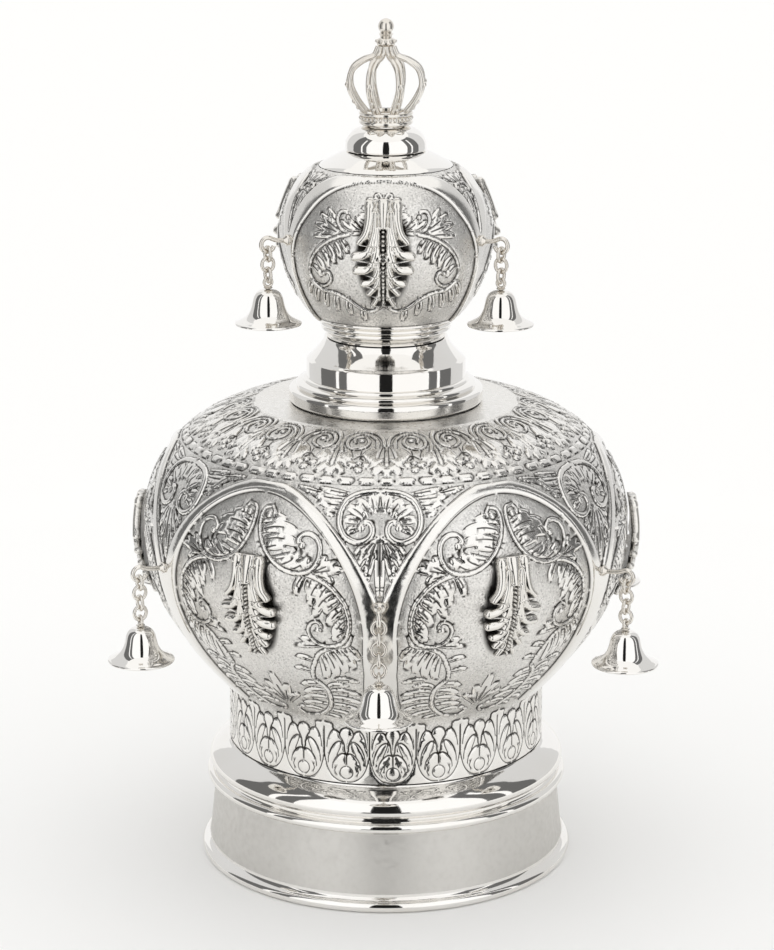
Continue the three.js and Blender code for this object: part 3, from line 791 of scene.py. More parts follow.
BELLY_LOW, BELLY_HIGH = 30.2, 153.8         # arc lengths between the leaf collar and the shoulder band
BAND_TOP = 190.2
COLLAR_REPEATS = 22
LOBE_FULLNESS = 1.3                 # a lobe's width against the width asked for
BELLY_CELL = 0.38                   # mm: mesh points nearer than this are merged
BAND_REPEATS = 22


class Rib:
    """A polished rib between two edges, lines of (share of the half angle, height) from the top down."""

    def __init__(self, wall, half_angle, outer, inner, lift, soft):
        self.wall, self.half_angle, self.lift, self.soft = wall, half_angle, lift, soft
        self.outer, self.inner = as_points(outer), as_points(inner)
        self.lines = [self.flat(line) for line in (self.outer, self.inner)]

    def flat(self, line):
        arc = self.wall.arc_at(line[:, 1])
        return resample(np.stack([line[:, 0] * self.half_angle * self.wall.radius(arc), arc], 1), 1.3)

    def rows(self):
        found = []
        for line, sign in zip(self.lines, (-1, 1)):
            side = normals(line) * sign
            found += [line + side * offset for offset in (-0.5, -0.14, 0.3, 0.9, 1.8)]
        return found

    def blend(self, points, high, dark, ground):
        share = points[:, 0] / (self.half_angle * self.wall.radius(points[:, 1]))
        height = self.wall.height(points[:, 1])
        below = height < np.interp(share, self.outer[:, 0], self.outer[:, 1])
        beyond = share > np.interp(height, self.inner[::-1, 1], self.inner[::-1, 0], right=-1)
        gap = np.min([nearest(points, line, np.zeros(len(line)))[0] for line in self.lines], axis=0)
        on = below & beyond
        round_ = np.sqrt(np.clip(1 - (1 - np.minimum(1, gap / self.soft)) ** 2, 0, 1))
        ink = np.clip(1 - np.abs(gap - 0.1) / 0.4, 0, 1)
        high = np.where(on, self.lift * round_, high - 0.2 * ink)
        dark = np.where(on, 0.75 * ink * (gap < 0.25), np.maximum(dark, ink))
        return high, dark, np.where(on, 0, ground)


def arch_edge(reach, floor, rise, last, cap=1e9):
    turn = np.linspace(0, math.asin(min(1, last / reach)), 50)
    return [(reach * math.sin(t), min(cap, floor + rise * math.cos(t))) for t in turn]


def stem_width(first, last):
    return lambda t: first + (last - first) * t


def scroll(relief, points, width=(1.0, 0.75), eye=1.35):
    path = spline(points)
    relief.raise_(path, stem_width(*width), 0.7, flat=0.25)
    if eye:
        relief.bead(points[-1], eye, 0.8)


def panel_marks(relief):
    """Half a panel's foliage: across from the panel's middle, and up the wall, in mm."""
    fans = (
        ((2.0, 134.5), (12.0, 136.6), 1.5, -50), ((2.6, 130.5), (18.2, 131.6), 1.9, -58),
        ((4.0, 126.4), (19.0, 127.2), 1.8, -50), ((5.6, 123.0), (13.6, 125.4), 1.5, -45),
        ((8.2, 119.8), (17.6, 122.2), 1.4, 45), ((11.6, 117.4), (21.4, 123.4), 1.5, 55),
        ((15.6, 116.0), (25.2, 121.2), 1.5, 60), ((20.0, 115.4), (27.4, 119.0), 1.3, 60),
        ((26, 115.6), (32.7, 122.2), 1.5, 40), ((26.5, 115.4), (36.8, 120.6), 1.5, 12),
        ((26.5, 115.0), (39.4, 117.6), 1.5, -12), ((27, 114.6), (36.4, 112.9), 1.3, -30),
        ((24.5, 114.2), (21.0, 106.6), 1.4, 50), ((28.4, 113.6), (26.8, 107.4), 1.5, 45),
        ((31.8, 112.2), (27.2, 102.6), 1.6, 50), ((34.6, 110.2), (31.0, 103.4), 1.5, 45),
        ((37.4, 107.6), (29.0, 97.4), 1.6, 50), ((39.8, 104.6), (33.6, 99.4), 1.5, 45),
        ((41.6, 101.0), (34.4, 93.6), 1.6, 45), ((42.6, 96.6), (36.2, 88.8), 1.5, 40),
        ((41.8, 91.0), (35.4, 86.2), 1.3, 35),
        ((29.0, 83.0), (21.2, 85.6), 1.3, 30), ((28.5, 82.6), (19.2, 81.8), 1.2, 10),
        ((39.8, 83.2), (43.2, 76.6), 1.6, -45), ((36.6, 82.0), (40.2, 71.4), 1.6, -45),
        ((33.4, 81.2), (36.0, 68.8), 1.6, -45), ((30.4, 80.0), (31.4, 66.2), 1.6, -40),
        ((27.6, 77.8), (26.6, 64.2), 1.5, -35), ((24.6, 73.0), (17.2, 75.6), 1.2, 40),
        ((21.4, 66.4), (14.6, 68.4), 1.2, 40),
        ((22.6, 58.6), (14.2, 57.0), 1.5, 50), ((23.6, 54.0), (13.4, 51.2), 1.6, 50),
        ((22.8, 48.4), (11.2, 46.4), 1.6, 45), ((20.6, 42.6), (9.4, 42.0), 1.5, 45),
        ((16.4, 36.6), (8.6, 38.6), 1.2, 45), ((0.4, 40.0), (0.0, 60.6), 1.7, 0),
        ((0.8, 41.0), (5.2, 54.4), 1.6, -20), ((1.0, 40.6), (8.2, 48.6), 1.4, -25),
        ((25.6, 57.6), (33.4, 58.8), 1.4, -50), ((25.4, 54.0), (36.2, 52.6), 1.6, -50),
        ((24.2, 49.0), (34.6, 46.0), 1.6, -45), ((22.4, 43.4), (31.6, 39.6), 1.6, -45),
        ((19.0, 38.0), (27.0, 34.2), 1.5, -40), ((13.4, 33.6), (20.6, 32.4), 1.2, -30),
        ((30.2, 62.8), (38.6, 61.8), 1.4, -45))
    for start, tip, width, bend in fans:
        relief.leaf(start, tip, width, bend)
    scroll(relief, [(20.6, 62.8), (23.9, 56), (23.3, 49.5), (20.2, 41.1), (13.2, 33.8), (5.6, 32.2),
                    (3.4, 36.2), (6.6, 38.8)], eye=1.2)
    scroll(relief, [(42.9, 88.4), (40.6, 83.9), (32.7, 81.6), (27.4, 78.2), (24.2, 73), (21.6, 67.4),
                    (20.6, 62.8)],
           (0.8, 0.9), eye=0)
    scroll(relief, [(20, 114.6), (24.6, 114.8), (30, 113.4), (36.6, 109.4), (41.6, 102.9), (43, 95.2),
                    (41.5, 88.7), (37.5, 84), (31.4, 82.6), (26.6, 85), (24.9, 89.5), (26.5, 93.4),
                    (29.4, 94.4), (31, 92.2), (29.4, 90.4)])
    scroll(relief, [(4.6, 136.8), (7.2, 138.4), (5.6, 141.2), (2.6, 140.6), (1.4, 137), (2.0, 131),
                    (4.4, 125), (8.6, 119.6), (14.6, 115.8), (21.6, 114.8), (27.4, 117), (30, 122),
                    (29.6, 127.6), (26.4, 131), (22.4, 131.4), (20.2, 128.6), (22.2, 126.6)], (0.8, 1.0))
    relief.bead((4.8, 137.6), 1.3)
    relief.leaf((31.5, 133.4), (27.4, 141.6), 1.4, 50)


def spandrel_marks(relief):
    """Half a spandrel, measured across from the rib line it stands on."""
    for start, tip, width, bend in (
            ((0.6, 143.6), (0.0, 151.2), 1.6, 0), ((2.6, 142.4), (4.2, 149.6), 1.5, -20),
            ((4.8, 141.2), (9.0, 147.2), 1.6, -30), ((6.8, 139.8), (12.6, 143.8), 1.6, -35),
            ((8.6, 137.6), (14.2, 138.6), 1.4, -40), ((9.0, 134.6), (13.4, 133.4), 1.2, -40),
            ((0.3, 131.6), (0.0, 107.6), 1.5, 0), ((1.0, 130.4), (5.4, 113.4), 1.3, -14),
            ((1.8, 130.0), (8.4, 119.6), 1.3, -18), ((2.8, 129.6), (9.8, 124.8), 1.1, -20),
            ((16.8, 141.4), (22.6, 141.8), 1.3, 35), ((15.8, 144.6), (24.4, 145.6), 1.4, 30),
            ((14.4, 147.4), (27.6, 148.8), 1.4, 20), ((12.6, 149.8), (24.4, 151.8), 1.2, 10),
            ((24.0, 149.6), (34.0, 151.6), 1.1, 8)):
        relief.leaf(start, tip, width, bend)
    scroll(relief, [(1.6, 151.4), (8.4, 150.2), (13.8, 146.6), (16.6, 140.4), (16.2, 134.6), (13.6, 130.8),
                    (9.6, 129.2), (5.6, 130.2), (3.2, 133.2), (3.8, 136.8), (6.4, 137.6), (7.8, 135.4)],
                    (1.2, 1.15), 1.5)


def panelled(wall, rib, panel, spandrel, leaf_middle):
    """The shape of half a panel with its rib and half a spandrel, and the points its mesh follows.

    leaf_middle is the arc length at the middle of the applied leaf, where the ground behind it is painted
    dark: painted shade of the leaf together with patina.
    """

    def moved(points):
        side = rib.half_angle * wall.radius(points[:, 1])
        return np.stack([side - points[:, 0], points[:, 1]], 1)

    def shape_at(points):
        across, up = points[:, 0], points[:, 1]
        high, dark, ground = panel.shape(points)
        own = spandrel.shape(moved(points))
        share = across / (rib.half_angle * wall.radius(up))
        above = wall.height(up) > np.interp(share, rib.outer[:, 0], rib.outer[:, 1])
        high, dark, ground = (np.where(above, b, a) for a, b in zip((high, dark, ground), own))
        # Painted shade: the ground behind the applied leaf is darkened where the leaf's shadow would fall,
        # together with the patina that blackens it there.
        shade_and_patina_behind_leaf = np.clip(1.25 - (across / 11.5) ** 2 - ((up - leaf_middle) / 22.5) ** 2, 0, 1) * (~above)
        dark = np.maximum(dark, 0.85 * np.clip(2.2 * shade_and_patina_behind_leaf, 0, 1))
        return rib.blend(points, high, dark, ground)

    return shape_at, rib.rows() + panel.rows() + [moved(row) for row in spandrel.rows()]


def make_belly():
    half_angle = math.radians(30)
    inner = arch_edge(0.873, 130, 57.5, 0.8729) + [(0.866, 112), (0.845, 100), (0.79, 88), (0.75, 80)]
    rib = Rib(large_wall, half_angle, arch_edge(1.087, 115, 77, 1.0, 191.3), inner, RIB_LIFT, 2.3)
    panel, spandrel = Relief(-0.3), Relief(-0.25)
    panel_marks(panel)
    spandrel_marks(spandrel)

    shape_at, rows = panelled(large_wall, rib, panel, spandrel, 97)
    sector = chased_sector(large_wall, BELLY_LOW, BELLY_HIGH, half_angle, shape_at, rows, 1.9, BELLY_CELL,
                           1.1)
    middles = np.radians(np.arange(6) * 60 + 30)
    places, faces, dark, ground = repeat_sector(large_wall, sector, middles)
    new_object("large_belly", places, faces, CHASED, ["large_bulb"],
               {"dark": dark, "ground": ground})


# ---------------------------------------------------------------- large bulb: collar of leaves


def collar_lines():
    """Cut lines of half a motif: from the ring's middle (0) to the stem between two leaves."""
    side = 10.05
    ring = [(2.85 * math.sin(t), 4.7 - 2.85 * math.cos(t)) for t in np.linspace(0, math.pi, 14)]
    crown = spline([(0, 25), (1.6, 24.5), (2.6, 23.6), (3.1, 22.2), (4.2, 23.3), (5.4, 23.6), (6.1, 24.6),
                    (6.0, 26.2), (7.2, 27.2), (8.6, 27.1), (9.4, 27.6), (side, 27.7)], 5)
    thick = [crown,
             [(side, 10.8), (side, 24.8)],
             spline([(0, 12.5), (0.8, 14.4), (1.0, 17), (1.8, 19.3), (2.9, 21), (3.1, 22.2)]),
             [(0, 8.4), (0, 12.5)],
             spline([(0, 12.5), (1.4, 13.3), (3.0, 12.7), (4.6, 11.2), (5.8, 9.2)]),
             spline([(1.0, 17.2), (2.9, 18.7), (4.8, 17.9), (6.6, 15.6), (7.7, 13)]),
             spline([(5.9, 23.8), (7.1, 22.4), (8.1, 20)])]
    thin = [ring,
            spline([(0, 0.35), (3.5, 0.9), (6.3, 2.8), (8.2, 5.7), (9.2, 8.8), (9.75, 11.6)]),
            spline([(5.8, 9.2), (6.2, 7.6), (6.3, 6.2)]),
            spline([(7.7, 13), (8.2, 10.6), (8.2, 8.8)]),
            spline([(8.1, 20), (8.6, 18), (8.8, 16)]),
            spline([(4.8, 4.0), (5.3, 5.2), (4.9, 6.4)]),
            spline([(2.2, 19.2), (2.6, 16.5), (4.2, 12.6)])]
    return crown, thick, thin


def make_collar():
    half_angle = math.pi / COLLAR_REPEATS
    crown, thick, thin = collar_lines()
    relief = Relief(0)
    for line in thick:
        relief.cut(line, 0.3, 0.42, 0.7)
    for line in thin:
        relief.cut(line, 0.14, 0.3, 0.7)

    def shape_at(points):
        high, dark, _ = relief.shape(points)
        above = points[:, 1] > np.interp(points[:, 0], crown[:, 0], crown[:, 1])
        return high - 0.3 * above, dark, above * 1.0

    sector = chased_sector(large_wall, 0, BELLY_LOW, half_angle, shape_at, relief.rows(), 1.7, 0.26, 1.0)
    turn = math.radians(3.8)
    places, faces, dark, ground = repeat_sector(
        large_wall, sector, turn + np.arange(COLLAR_REPEATS) * 2 * half_angle)
    new_object("leaf_collar", places, faces, CHASED, ["large_bulb"],
               {"dark": dark, "ground": ground})


# ---------------------------------------------------------------- large bulb: shoulder band and plate


def make_band():
    half_angle = 2 * math.pi / BAND_REPEATS
    top = BAND_TOP

    def spots(points):
        points = as_points(points)
        return np.stack([np.radians(points[:, 0]) * large_wall.radius(points[:, 1]), points[:, 1]], 1)

    relief = Relief(-0.25)

    def leaf(start, tip, width, bend):
        a, b = spots([start, tip])
        relief.leaf(a, b, width, bend, 0.6, slit=False)

    for middle in (0, math.degrees(half_angle)):
        flip = 1 if middle == 0 else -1
        for start, tip, width, bend in (
                ((0, 166.5), (0, 159.6), 1.6, 0), ((0.6, 166.2), (3.4, 160.6), 1.5, -25),
                ((0.9, 168.6), (5.4, 163.8), 1.2, -30)):
            leaf((middle + flip * start[0], start[1]), (middle + flip * tip[0], tip[1]), width, bend * flip)
        relief.raise_(spots([(middle, 165), (middle, 178.4)]), stem_width(0.9, 0.5), 0.5)
    for start, tip, width, bend in (
            ((1.0, 180), (3.6, 166.4), 1.2, -35), ((2.2, 178), (5.4, 167.2), 1.2, -35),
            ((3.6, 176.6), (7.0, 169), 1.1, -30), ((15.2, 178.6), (12.9, 165.6), 1.2, 35),
            ((14.2, 176), (11.4, 168.2), 1.2, 30), ((15.8, 174), (14.9, 167), 1.1, 25)):
        leaf(start, tip, width, bend)
    for points, width in (
            ([(0.7, 178), (1.0, 182.6), (3.0, 186.6), (6.4, 189), (9.8, 189.3), (13.4, 187.8), (15.4, 184),
              (15.7, 179), (14.6, 173)], 0.75),
            ([(3.0, 176.2), (3.2, 181.4), (5.2, 185.2), (8.4, 187), (11.6, 186.2), (13.6, 183),
              (13.7, 178.4), (11.8, 175.2), (9.0, 175.2)], 0.75),
            ([(9.0, 175.4), (6.8, 177.6), (6.2, 181.2), (7.6, 184.2), (10, 184.6), (11.6, 182.4),
              (11, 179.8)], 0.7)):
        relief.raise_(spline(spots(points)), width, 0.65, flat=0.3)
    relief.bead(spots([(9.0, 181.6)])[0], 1.25, 0.9)
    for middle in ((6.2, 165.2), (10.4, 165.2), (8.2, 162.4)):
        relief.bead(spots([middle])[0], 1.75, 0.6)
    relief.bead(spots([(8.2, 166.2)])[0], 1.25, 1.0)
    for line in ([(8.2, 173.9), (8.2, 169.2)], [(8.2, 171), (6.4, 168.6)], [(8.2, 171), (10, 168.6)]):
        relief.cut(spots(line), 0.22, 0.3)
    beads = np.arange(4) * math.degrees(half_angle) / 3
    for middle in beads:
        spot = spots([(middle, 156.4)])[0]
        relief.raise_([spot - (1.7, 0), spot + (1.7, 0)], 1.75, 0.7, step=0.5, flat=0.35)

    def shape_at(points):
        high, dark, ground = relief.shape(points)
        line = np.clip(1 - np.abs(points[:, 1] - 154.05) / 0.45, 0, 1)
        rim = points[:, 1] > top - 1.2
        return (np.where(rim, 0, high - 0.2 * line), np.where(rim, dark * 0.4, np.maximum(dark, line)),
                np.where(rim, 0, ground))

    edges = (153.98, 154.4, 154.8, top - 1.2)
    rows = [[(x, y) for x in np.arange(0, 26, 1.1)] for y in edges] + relief.rows()
    sector = chased_sector(large_wall, BELLY_HIGH, top, half_angle, shape_at, rows, 1.5, 0.32, 0.9)
    middles = math.radians(1.6) + np.arange(BAND_REPEATS // 2) * 2 * half_angle
    places, faces, dark, ground = repeat_sector(large_wall, sector, middles)
    new_object("shoulder_band", places, faces, CHASED, ["large_bulb"],
               {"dark": dark, "ground": ground})


def make_large_lining():
    """The plain plate on the shoulder, the wall's inner face and its lower edge."""
    height = SHOULDER_HEIGHT
    outer = [(57.9, height - 0.3), (57.2, height), (56.6, height + 0.25), (55.6, height + 0.15),
             (54.8, height - 0.05), (27, height - 0.05), (27, height - 1.6), (50, height - 1.7)]
    inner = [(large_wall.radius(a) - 1.9, large_wall.height(a) - 0.5) for a in np.arange(182, 26, -6)]
    outer += inner + [(68.4, 79), (68.2, 60), (68.2, 54.4), (70.3, 54.3)]
    places, faces = turned(outer, 132, closed=False)
    new_object("shoulder_plate", places, [f[::-1] for f in faces], SATIN, ["large_bulb"],
               crease=30)


make_belly()
make_collar()
make_band()
make_large_lining()

# ---------------------------------------------------------------- small bulb

CAP_ARC = 74.6


def small_marks(relief):
    """Half a panel of the small bulb and half of the spandrel beside it."""
    for start, tip, width, bend in (
            ((1.4, 58.0), (6.4, 60.8), 1.1, -50), ((2.0, 54.6), (8.4, 57.0), 1.2, -50),
            ((3.4, 51.4), (9.8, 53.4), 1.2, -45), ((6.0, 48.8), (11.4, 52.6), 1.0, 40),
            ((9.6, 47.4), (14.6, 51.6), 1.1, 45), ((13.0, 47.0), (18.0, 50.4), 1.1, 45),
            ((17.4, 47.6), (24.4, 55.0), 1.3, 20), ((18.6, 46.8), (28.0, 52.4), 1.3, 5),
            ((19.4, 45.8), (30.6, 48.4), 1.3, -10), ((19.6, 44.4), (31.2, 43.8), 1.2, -20),
            ((18.6, 43.0), (15.4, 38.2), 1.1, 45), ((22.0, 42.0), (18.6, 35.6), 1.2, 45),
            ((25.4, 40.4), (21.6, 33.4), 1.2, 45), ((28.6, 38.0), (24.4, 31.2), 1.2, 45),
            ((31.4, 34.8), (26.8, 28.8), 1.2, 40), ((33.4, 30.8), (28.6, 26.4), 1.1, 40),
            ((33.0, 24.0), (35.8, 17.4), 1.2, -40), ((29.6, 21.6), (31.6, 13.6), 1.2, -40),
            ((25.4, 20.2), (26.2, 11.4), 1.2, -35), ((20.6, 19.2), (20.6, 9.8), 1.2, -30),
            ((15.4, 17.0), (14.2, 8.2), 1.1, -25), ((8.6, 13.0), (8.0, 5.2), 1.1, -20),
            ((4.6, 12.6), (0.6, 21.6), 1.2, 20), ((3.2, 10.6), (0.2, 14.6), 1.0, 20)):
        relief.leaf(start, tip, width, bend)
    scroll(relief, [(2.4, 60.6), (3.6, 62.2), (2.2, 63.6), (0.9, 61.6), (0.9, 57.4), (2.4, 52.0),
                    (6.4, 47.6), (12.0, 45.8), (17.4, 47.0), (20.0, 50.6), (18.8, 54.4), (15.8, 54.8),
                    (15.2, 52.6)],
           (0.65, 0.8), 1.0)
    scroll(relief, [(14.4, 45.6), (21.0, 43.6), (28.0, 39.8), (33.2, 33.6), (34.8, 26.8), (31.6, 22.2),
                    (26.4, 21.6), (23.2, 25.0), (24.6, 28.4), (27.0, 27.4)], (0.85, 0.75), 1.0)
    scroll(relief, [(33.6, 22.8), (28.4, 19.6), (21.0, 18.4), (15.2, 15.6), (10.0, 11.6), (4.4, 10.2),
                    (2.4, 12.6), (4.6, 14.2)], (0.8, 0.75), 0.9)


def cap_marks(relief):
    """The corner above the arch, across from the rib line."""
    for start, tip, width, bend in (
            ((0.3, 62.0), (0.0, 50.0), 1.2, 0), ((0.6, 64.0), (3.0, 57.6), 1.0, -15),
            ((0.6, 66.0), (0.6, 71.8), 1.2, 0), ((1.4, 66.0), (4.4, 70.8), 1.1, -20),
            ((4.6, 68.6), (9.0, 71.6), 1.0, 15)):
        relief.leaf(start, tip, width, bend)
    scroll(relief, [(0.8, 65.6), (3.0, 65.6), (4.4, 63.4), (3.2, 61.4), (1.6, 62.4)], (0.7, 0.7), 0.9)


def make_small_belly():
    half_angle = math.radians(60)
    inner = [(turn / 60, height) for turn, height in spline(
        [(0, 308.6), (18, 307.8), (32.7, 304.6), (41, 300), (47, 293.6), (51.4, 288), (54.8, 281),
         (56.8, 274.6), (58.0, 267), (58.0, 258), (57.4, 251), (56.6, 246)], 6)]
    outer = [(turn / 60, height) for turn, height in spline(
        [(0, 310.3), (22, 310.2), (40, 309.6), (47.6, 307.4), (52.6, 303.6), (56.2, 298.6), (58.6, 292),
         (60, 286)], 6)]
    rib = Rib(small_wall, half_angle, outer, inner, 0.7 * RIB_LIFT, 1.1)
    panel, corner = Relief(-0.25), Relief(-0.2)
    small_marks(panel)
    cap_marks(corner)

    shape_at, rows = panelled(small_wall, rib, panel, corner, 36)
    sector = chased_sector(small_wall, 0, CAP_ARC, half_angle, shape_at, rows, 1.4, 0.3, 0.9)
    places, faces, dark, ground = repeat_sector(small_wall, sector, np.radians([0, 120, 240]))
    new_object("small_belly", places, faces, CHASED, ["small_bulb"],
               {"dark": dark, "ground": ground})


def make_small_lining():
    """The reeds under the small bulb, its cap and its inner face."""
    outer = [(24.5, 236.4), (25.8, 236.4), (26.2, 238.0), (26.8, 238.9)]
    for height, radius in ((240.5, 28.2), (242.8, 28.9), (245.1, 29.6)):
        outer += arc_points((radius - 0.9, height), 1.0, -70, 80, 5)
    outer += [(31.6, 246.0), (32.6, 246.5)]
    cap = [(28.8, 310.9), (28.2, 311.6), (26.4, 312.6), (22, 315.0), (18.4, 316.7), (17.2, 317.0),
           (9, 317.1), (9, 315.7), (16, 315.2)]
    inner = [(small_wall.radius(a) - 1.9, small_wall.height(a) - 0.4) for a in np.arange(70, 2, -5)]
    inner += [(26.6, 245), (24.5, 240)]
    low, low_faces = turned(outer, 108, closed=False)
    high, high_faces = turned(cap + inner, 108, closed=False)
    places, faces = joined([(low, low_faces), (high, high_faces)])
    new_object("small_lining", places, faces, POLISHED, ["small_bulb"], crease=30)


make_small_belly()
make_small_lining()

# ---------------------------------------------------------------- applied leaves

LEAF_LONG = 44.0


def leaf_relief():
    """The cast leaf: half of it, across from its midrib and down from its top."""
    relief = Relief(0)
    body = spline([(0, -0.6), (0, -LEAF_LONG + 3)], 20)
    relief.raise_(body, lambda t: 6.6 - 4.6 * t + 1.6 * np.sin(2 * math.pi * t) * (t < 0.5), 1.5, flat=0.7,
                  line=0.5)
    for points, first, last, lift in (
            ([(0.6, -34), (1.6, -39.0), (3.8, -43.6)], 1.3, 1.0, 1.9),
            ([(1.2, -26), (2.0, -33.4), (5.6, -38.4)], 1.2, 1.4, 2.2),
            ([(1.4, -20), (2.4, -28.6), (5.4, -33.2), (7.8, -33.8)], 1.2, 1.6, 2.5),
            ([(1.8, -12), (3.0, -21.6), (6.0, -27.6), (10.6, -28.2)], 1.2, 1.9, 2.8),
            ([(3.0, -6), (3.8, -14.6), (6.6, -21.4), (11.2, -22.6)], 1.2, 1.9, 3.0),
            ([(5.4, -3), (5.6, -9), (7.0, -14.2), (9.4, -17.0)], 2.2, 1.5, 3.0)):
        relief.raise_(spline(points), stem_width(first, last), lift, step=0.7, flat=0.15, line=0.55)
    relief.raise_([(5.3, -2.2), (5.3, -3.0)], 2.4, 3.2, step=0.3, flat=0.2, line=0)
    relief.raise_([(0, -1.4), (0, -12), (0, -LEAF_LONG + 1)], lambda t: 3.0 - 2.2 * np.minimum(1, t * 2.6),
                  2.9, step=0.7, flat=0.15, line=0.6)
    relief.marks = [("lobe", *mark[1:]) for mark in relief.marks]
    for index in range(18):
        relief.bead((0, -13 - 1.7 * index), 0.72, 3.0)
    return relief


def leaf_outline(relief, down):
    """How wide the leaf is at each height: the farthest edge of any mark there."""
    across = np.linspace(0, 15, 151)
    wide = np.zeros(len(down))
    for k, height in enumerate(down):
        points = np.stack([across, np.full(len(across), height)], 1)
        inside = relief.shape(points)[2] == 0
        wide[k] = across[inside].max() if inside.any() else 0
    return wide


def make_leaf(name, node, wall, top, middle, stand_off=1.1):
    relief = leaf_relief()
    down = np.linspace(-0.2, -LEAF_LONG - 0.8, 98)
    wide = np.maximum(0.35, leaf_outline(relief, down))
    count = 22
    share = np.linspace(0, 1, count)
    top_arc = float(wall.arc_at(top))
    across = np.concatenate([-wide[:, None] * share[None, :0:-1], wide[:, None] * share[None]], 1)
    up = np.repeat(down[:, None], across.shape[1], 1)
    flat = np.stack([np.abs(across).ravel(), up.ravel()], 1)
    high, dark, ground = relief.shape(flat)
    arc = top_arc + up.ravel()
    curve = 0.5 * np.sin(math.pi * np.clip(-up.ravel() / LEAF_LONG, 0, 1))
    radius = wall.radius(arc)
    angle = middle + across.ravel() / radius
    front = wall.place(angle, arc, stand_off + 0.6 + curve + np.maximum(0, high))
    back = wall.place(angle, arc, stand_off + curve)
    rows, columns = across.shape
    total = rows * columns
    faces = []
    for i in range(rows - 1):
        for j in range(columns - 1):
            a, b = i * columns + j, i * columns + j + 1
            c, d = b + columns, a + columns
            faces += [[a, d, c, b], [total + a, total + b, total + c, total + d]]
    edge = ([j for j in range(columns)] + [i * columns + columns - 1 for i in range(1, rows)]
            + [(rows - 1) * columns + j for j in range(columns - 2, -1, -1)]
            + [i * columns for i in range(rows - 2, 0, -1)])
    for a, b in zip(edge, edge[1:] + edge[:1]):
        faces.append([a, b, total + b, total + a])
    # Painted shade: the leaf is darkened where its relief lies low, between and under its lobes, with
    # patina in its lines; its back is set to a fixed half dark.
    shade = np.maximum(0.8 * dark, np.clip(0.9 - high / 1.3, 0, 1))
    fields = {"dark": np.concatenate([shade, shade * 0 + 0.5]), "ground": np.zeros(2 * total)}
    return new_object(name, np.vstack([front, back]), faces, CAST, [node], fields)


for index in range(6):
    make_leaf(f"large_leaf_shape_{index + 1}", f"large_leaf_{index + 1}", large_wall, 163.8,
              math.radians(30 + 60 * index))
for index in range(3):
    make_leaf(f"small_leaf_shape_{index + 1}", f"small_leaf_{index + 1}", small_wall, 301.2,
              math.radians(120 * index))

# ---------------------------------------------------------------- finial crown


def make_finial():
    parts = [turned([(8.2, 328.4), (10.9, 328.4), (11.5, 328.9), (11.5, 329.7), (10.9, 330.2),
                     (10.7, 330.6), (10.7, 331.8), (11.0, 332.2), (11.6, 332.7), (11.6, 333.5), (11.0, 334),
                     (8.2, 334), (7.6, 331.4)], 64)]
    for index in range(32):
        turn = 2 * math.pi * index / 32
        parts.append(ball((10.9 * math.sin(turn), -10.9 * math.cos(turn), 331.2), 0.85, 5, 8))
    line = spline([(9.2, 333.4), (13.6, 338.6), (16.6, 345), (15.4, 351.8), (10.2, 355.8), (5.4, 357.6),
                   (3.4, 361.2)], 6)
    for index in range(8):
        turn = 2 * math.pi * (index + 0.5) / 8
        for side in (-0.95, 0.95):
            path = [(side, -r, z) for r, z in line]
            places, faces = tube(path, 1.02, 8)
            parts.append((turned_about(places, turn), faces))
        for middle, radius in (((0, -17.4, 346), 1.35), ((0, -12.7, 336.0), 0.9),
                               ((0, -14.6, 338.7), 0.95)):
            places, faces = ball(middle, radius, 7, 10)
            parts.append((turned_about(places, turn), faces))
    parts.append(turned([(0, 357.5), (2.6, 358), (3.2, 361.4), (4.0, 362.4), (4.2, 363.6), (3.4, 364.6),
                         (2.4, 365.2), (2.7, 366), (3.1, 366.6), (2.5, 367.2), (0, 367.4)], 28,
                         closed=False))
    for index in range(12):
        turn = 2 * math.pi * index / 12
        parts.append(ball((4.0 * math.sin(turn), -4.0 * math.cos(turn), 363.6), 0.75, 5, 8))
    parts.append(ball((0, 0, 369.8), 3.4, 13, 24))
    places, faces = joined(parts)
    new_object("finial_shape", places, faces, WIRE, ["finial_crown"], crease=60)


make_finial()


# ---------------------------------------------------------------- floor, light and camera

VIEW_TURN = math.radians(1.4)       # the camera stands a little to the right of the front


def plain(name, colour, rough=0.8):
    made = bpy.data.materials.new(name)
    made.use_nodes = True
    shader = made.node_tree.nodes["Principled BSDF"]
    shader.inputs["Base Color"].default_value = (*colour, 1)
    shader.inputs["Roughness"].default_value = rough
    shader.inputs["Specular IOR Level"].default_value = 0.1
    return made


def glow(name, strength):
    made = bpy.data.materials.new(name)
    made.use_nodes = True
    tree = made.node_tree
    tree.nodes.clear()
    light = tree.nodes.new("ShaderNodeEmission")
    light.inputs[0].default_value = (1, 1, 1, 1)
    light.inputs[1].default_value = strength
    tree.links.new(light.outputs[0], tree.nodes.new("ShaderNodeOutputMaterial").inputs[0])
    return made


def stage_mesh(name, places, faces, material, only_reflected=False):
    mesh = bpy.data.meshes.new(name)
    mesh.from_pydata([tuple(p) for p in places], [], faces)
    mesh.materials.append(material)
    made = bpy.data.objects.new(name, mesh)
    bpy.context.scene.collection.objects.link(made)
    if only_reflected:
        made.visible_camera = False
        made.visible_diffuse = False
        made.visible_shadow = False
        made.visible_transmission = False
    return made


def card(name, first, last, low, high, strength, reach):
    """A curved studio card, seen only in reflections. Angles in degrees from the camera's side."""
    steps = max(1, int((last - first) / 6))
    turn = np.radians(np.linspace(first, last, steps + 1)) + VIEW_TURN
    places = [(reach * math.sin(t), -reach * math.cos(t), z) for z in (low, high) for t in turn]
    faces = [(k, k + 1, steps + 2 + k, steps + 1 + k) for k in range(steps)]
    return stage_mesh(name, places, faces, glow(name, strength), only_reflected=True)


floor_size = 14
stage_mesh("floor", [(-floor_size, -floor_size, 0), (floor_size, -floor_size, 0),
                     (floor_size, floor_size, 0), (-floor_size, floor_size, 0)], [(0, 1, 2, 3)],
                     plain("pale_floor", (0.93, 0.93, 0.925)))

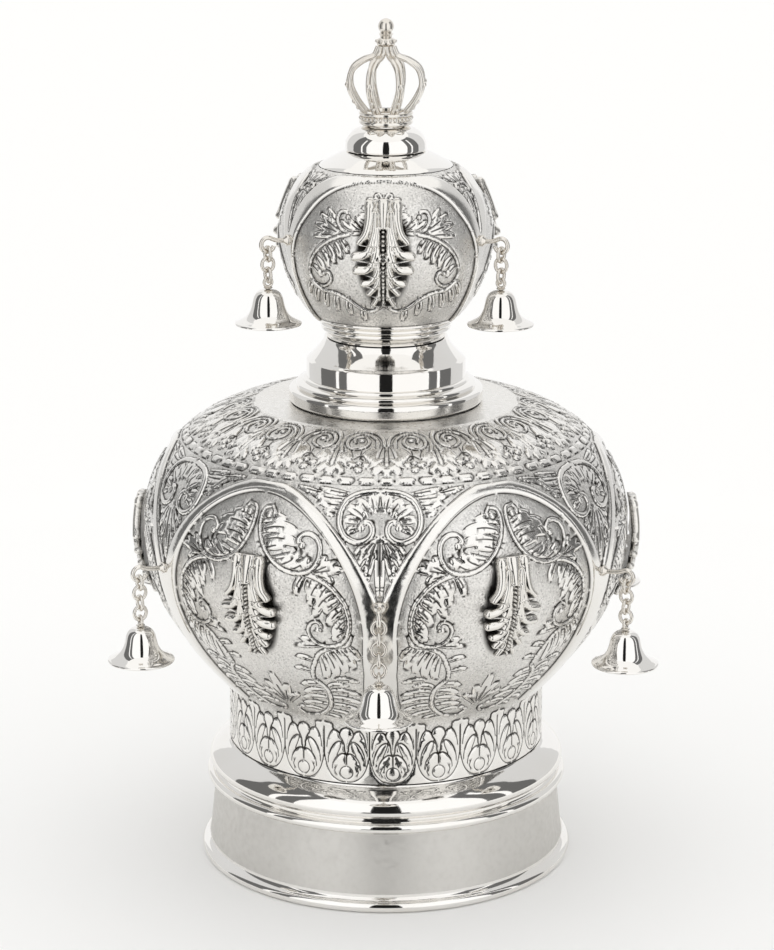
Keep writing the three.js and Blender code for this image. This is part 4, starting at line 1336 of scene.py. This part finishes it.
world = bpy.data.worlds.new("studio")
bpy.context.scene.world = world
world.use_nodes = True
world.node_tree.nodes["Background"].inputs[0].default_value = (1, 0.995, 0.985, 1)
world.node_tree.nodes["Background"].inputs[1].default_value = 1.08

def floor_card(name, half, near, far, strength):
    """A dark sheet lying in front, seen only in reflections."""
    turn = np.radians(np.linspace(-half, half, 9)) + VIEW_TURN
    places = [(r * math.sin(t), -r * math.cos(t), 0.0008) for r in (near, far) for t in turn]
    faces = [(k, k + 1, 10 + k, 9 + k) for k in range(8)]
    return stage_mesh(name, places, faces, glow(name, strength), only_reflected=True)


floor_card("dark_sheet", 13, 0.205, 0.66, 0.02)
for name, first, last, low, high, strength, reach in (
        ("gap_between_boxes", -9, 9, 0, 1.15, 0.015, 0.66),
        ("box_left", -56, -9, 0, 1.1, 1.15, 0.66),
        ("box_right", 9, 62, 0, 1.1, 1.15, 0.66),
        ("flank_left", -104, -56, 0, 1.2, 0.16, 0.66),
        ("flank_right", 62, 104, 0, 1.2, 0.16, 0.66),
        ("strip_left", -74, -69, 0, 1.0, 1.2, 0.655),
        ("strip_right", 76, 81, 0, 1.0, 1.2, 0.655),
        ("back_left", -142, -104, 0, 1.1, 0.75, 0.66),
        ("back_right", 104, 142, 0, 1.1, 0.75, 0.66),
        ("backdrop", 142, 218, 0, 1.1, 1.0, 0.66)):
    card(name, first, last, low, high, strength, reach)

CAMERA_REACH = 1.187                # m from the axis
CAMERA_HEIGHT = 0.4927
CAMERA_DIP = 15.08                  # degrees below level

camera_data = bpy.data.cameras.new("camera")
camera_data.sensor_width = 36
camera_data.lens = 105.37
camera_data.shift_x = 0.00105
camera_data.clip_end = 60
camera = bpy.data.objects.new("camera", camera_data)
bpy.context.scene.collection.objects.link(camera)
camera.location = (CAMERA_REACH * math.sin(VIEW_TURN), -CAMERA_REACH * math.cos(VIEW_TURN), CAMERA_HEIGHT)
camera.rotation_euler = (math.radians(90 - CAMERA_DIP), 0, VIEW_TURN)
bpy.context.scene.camera = camera
bpy.context.scene.view_settings.view_transform = "Standard"
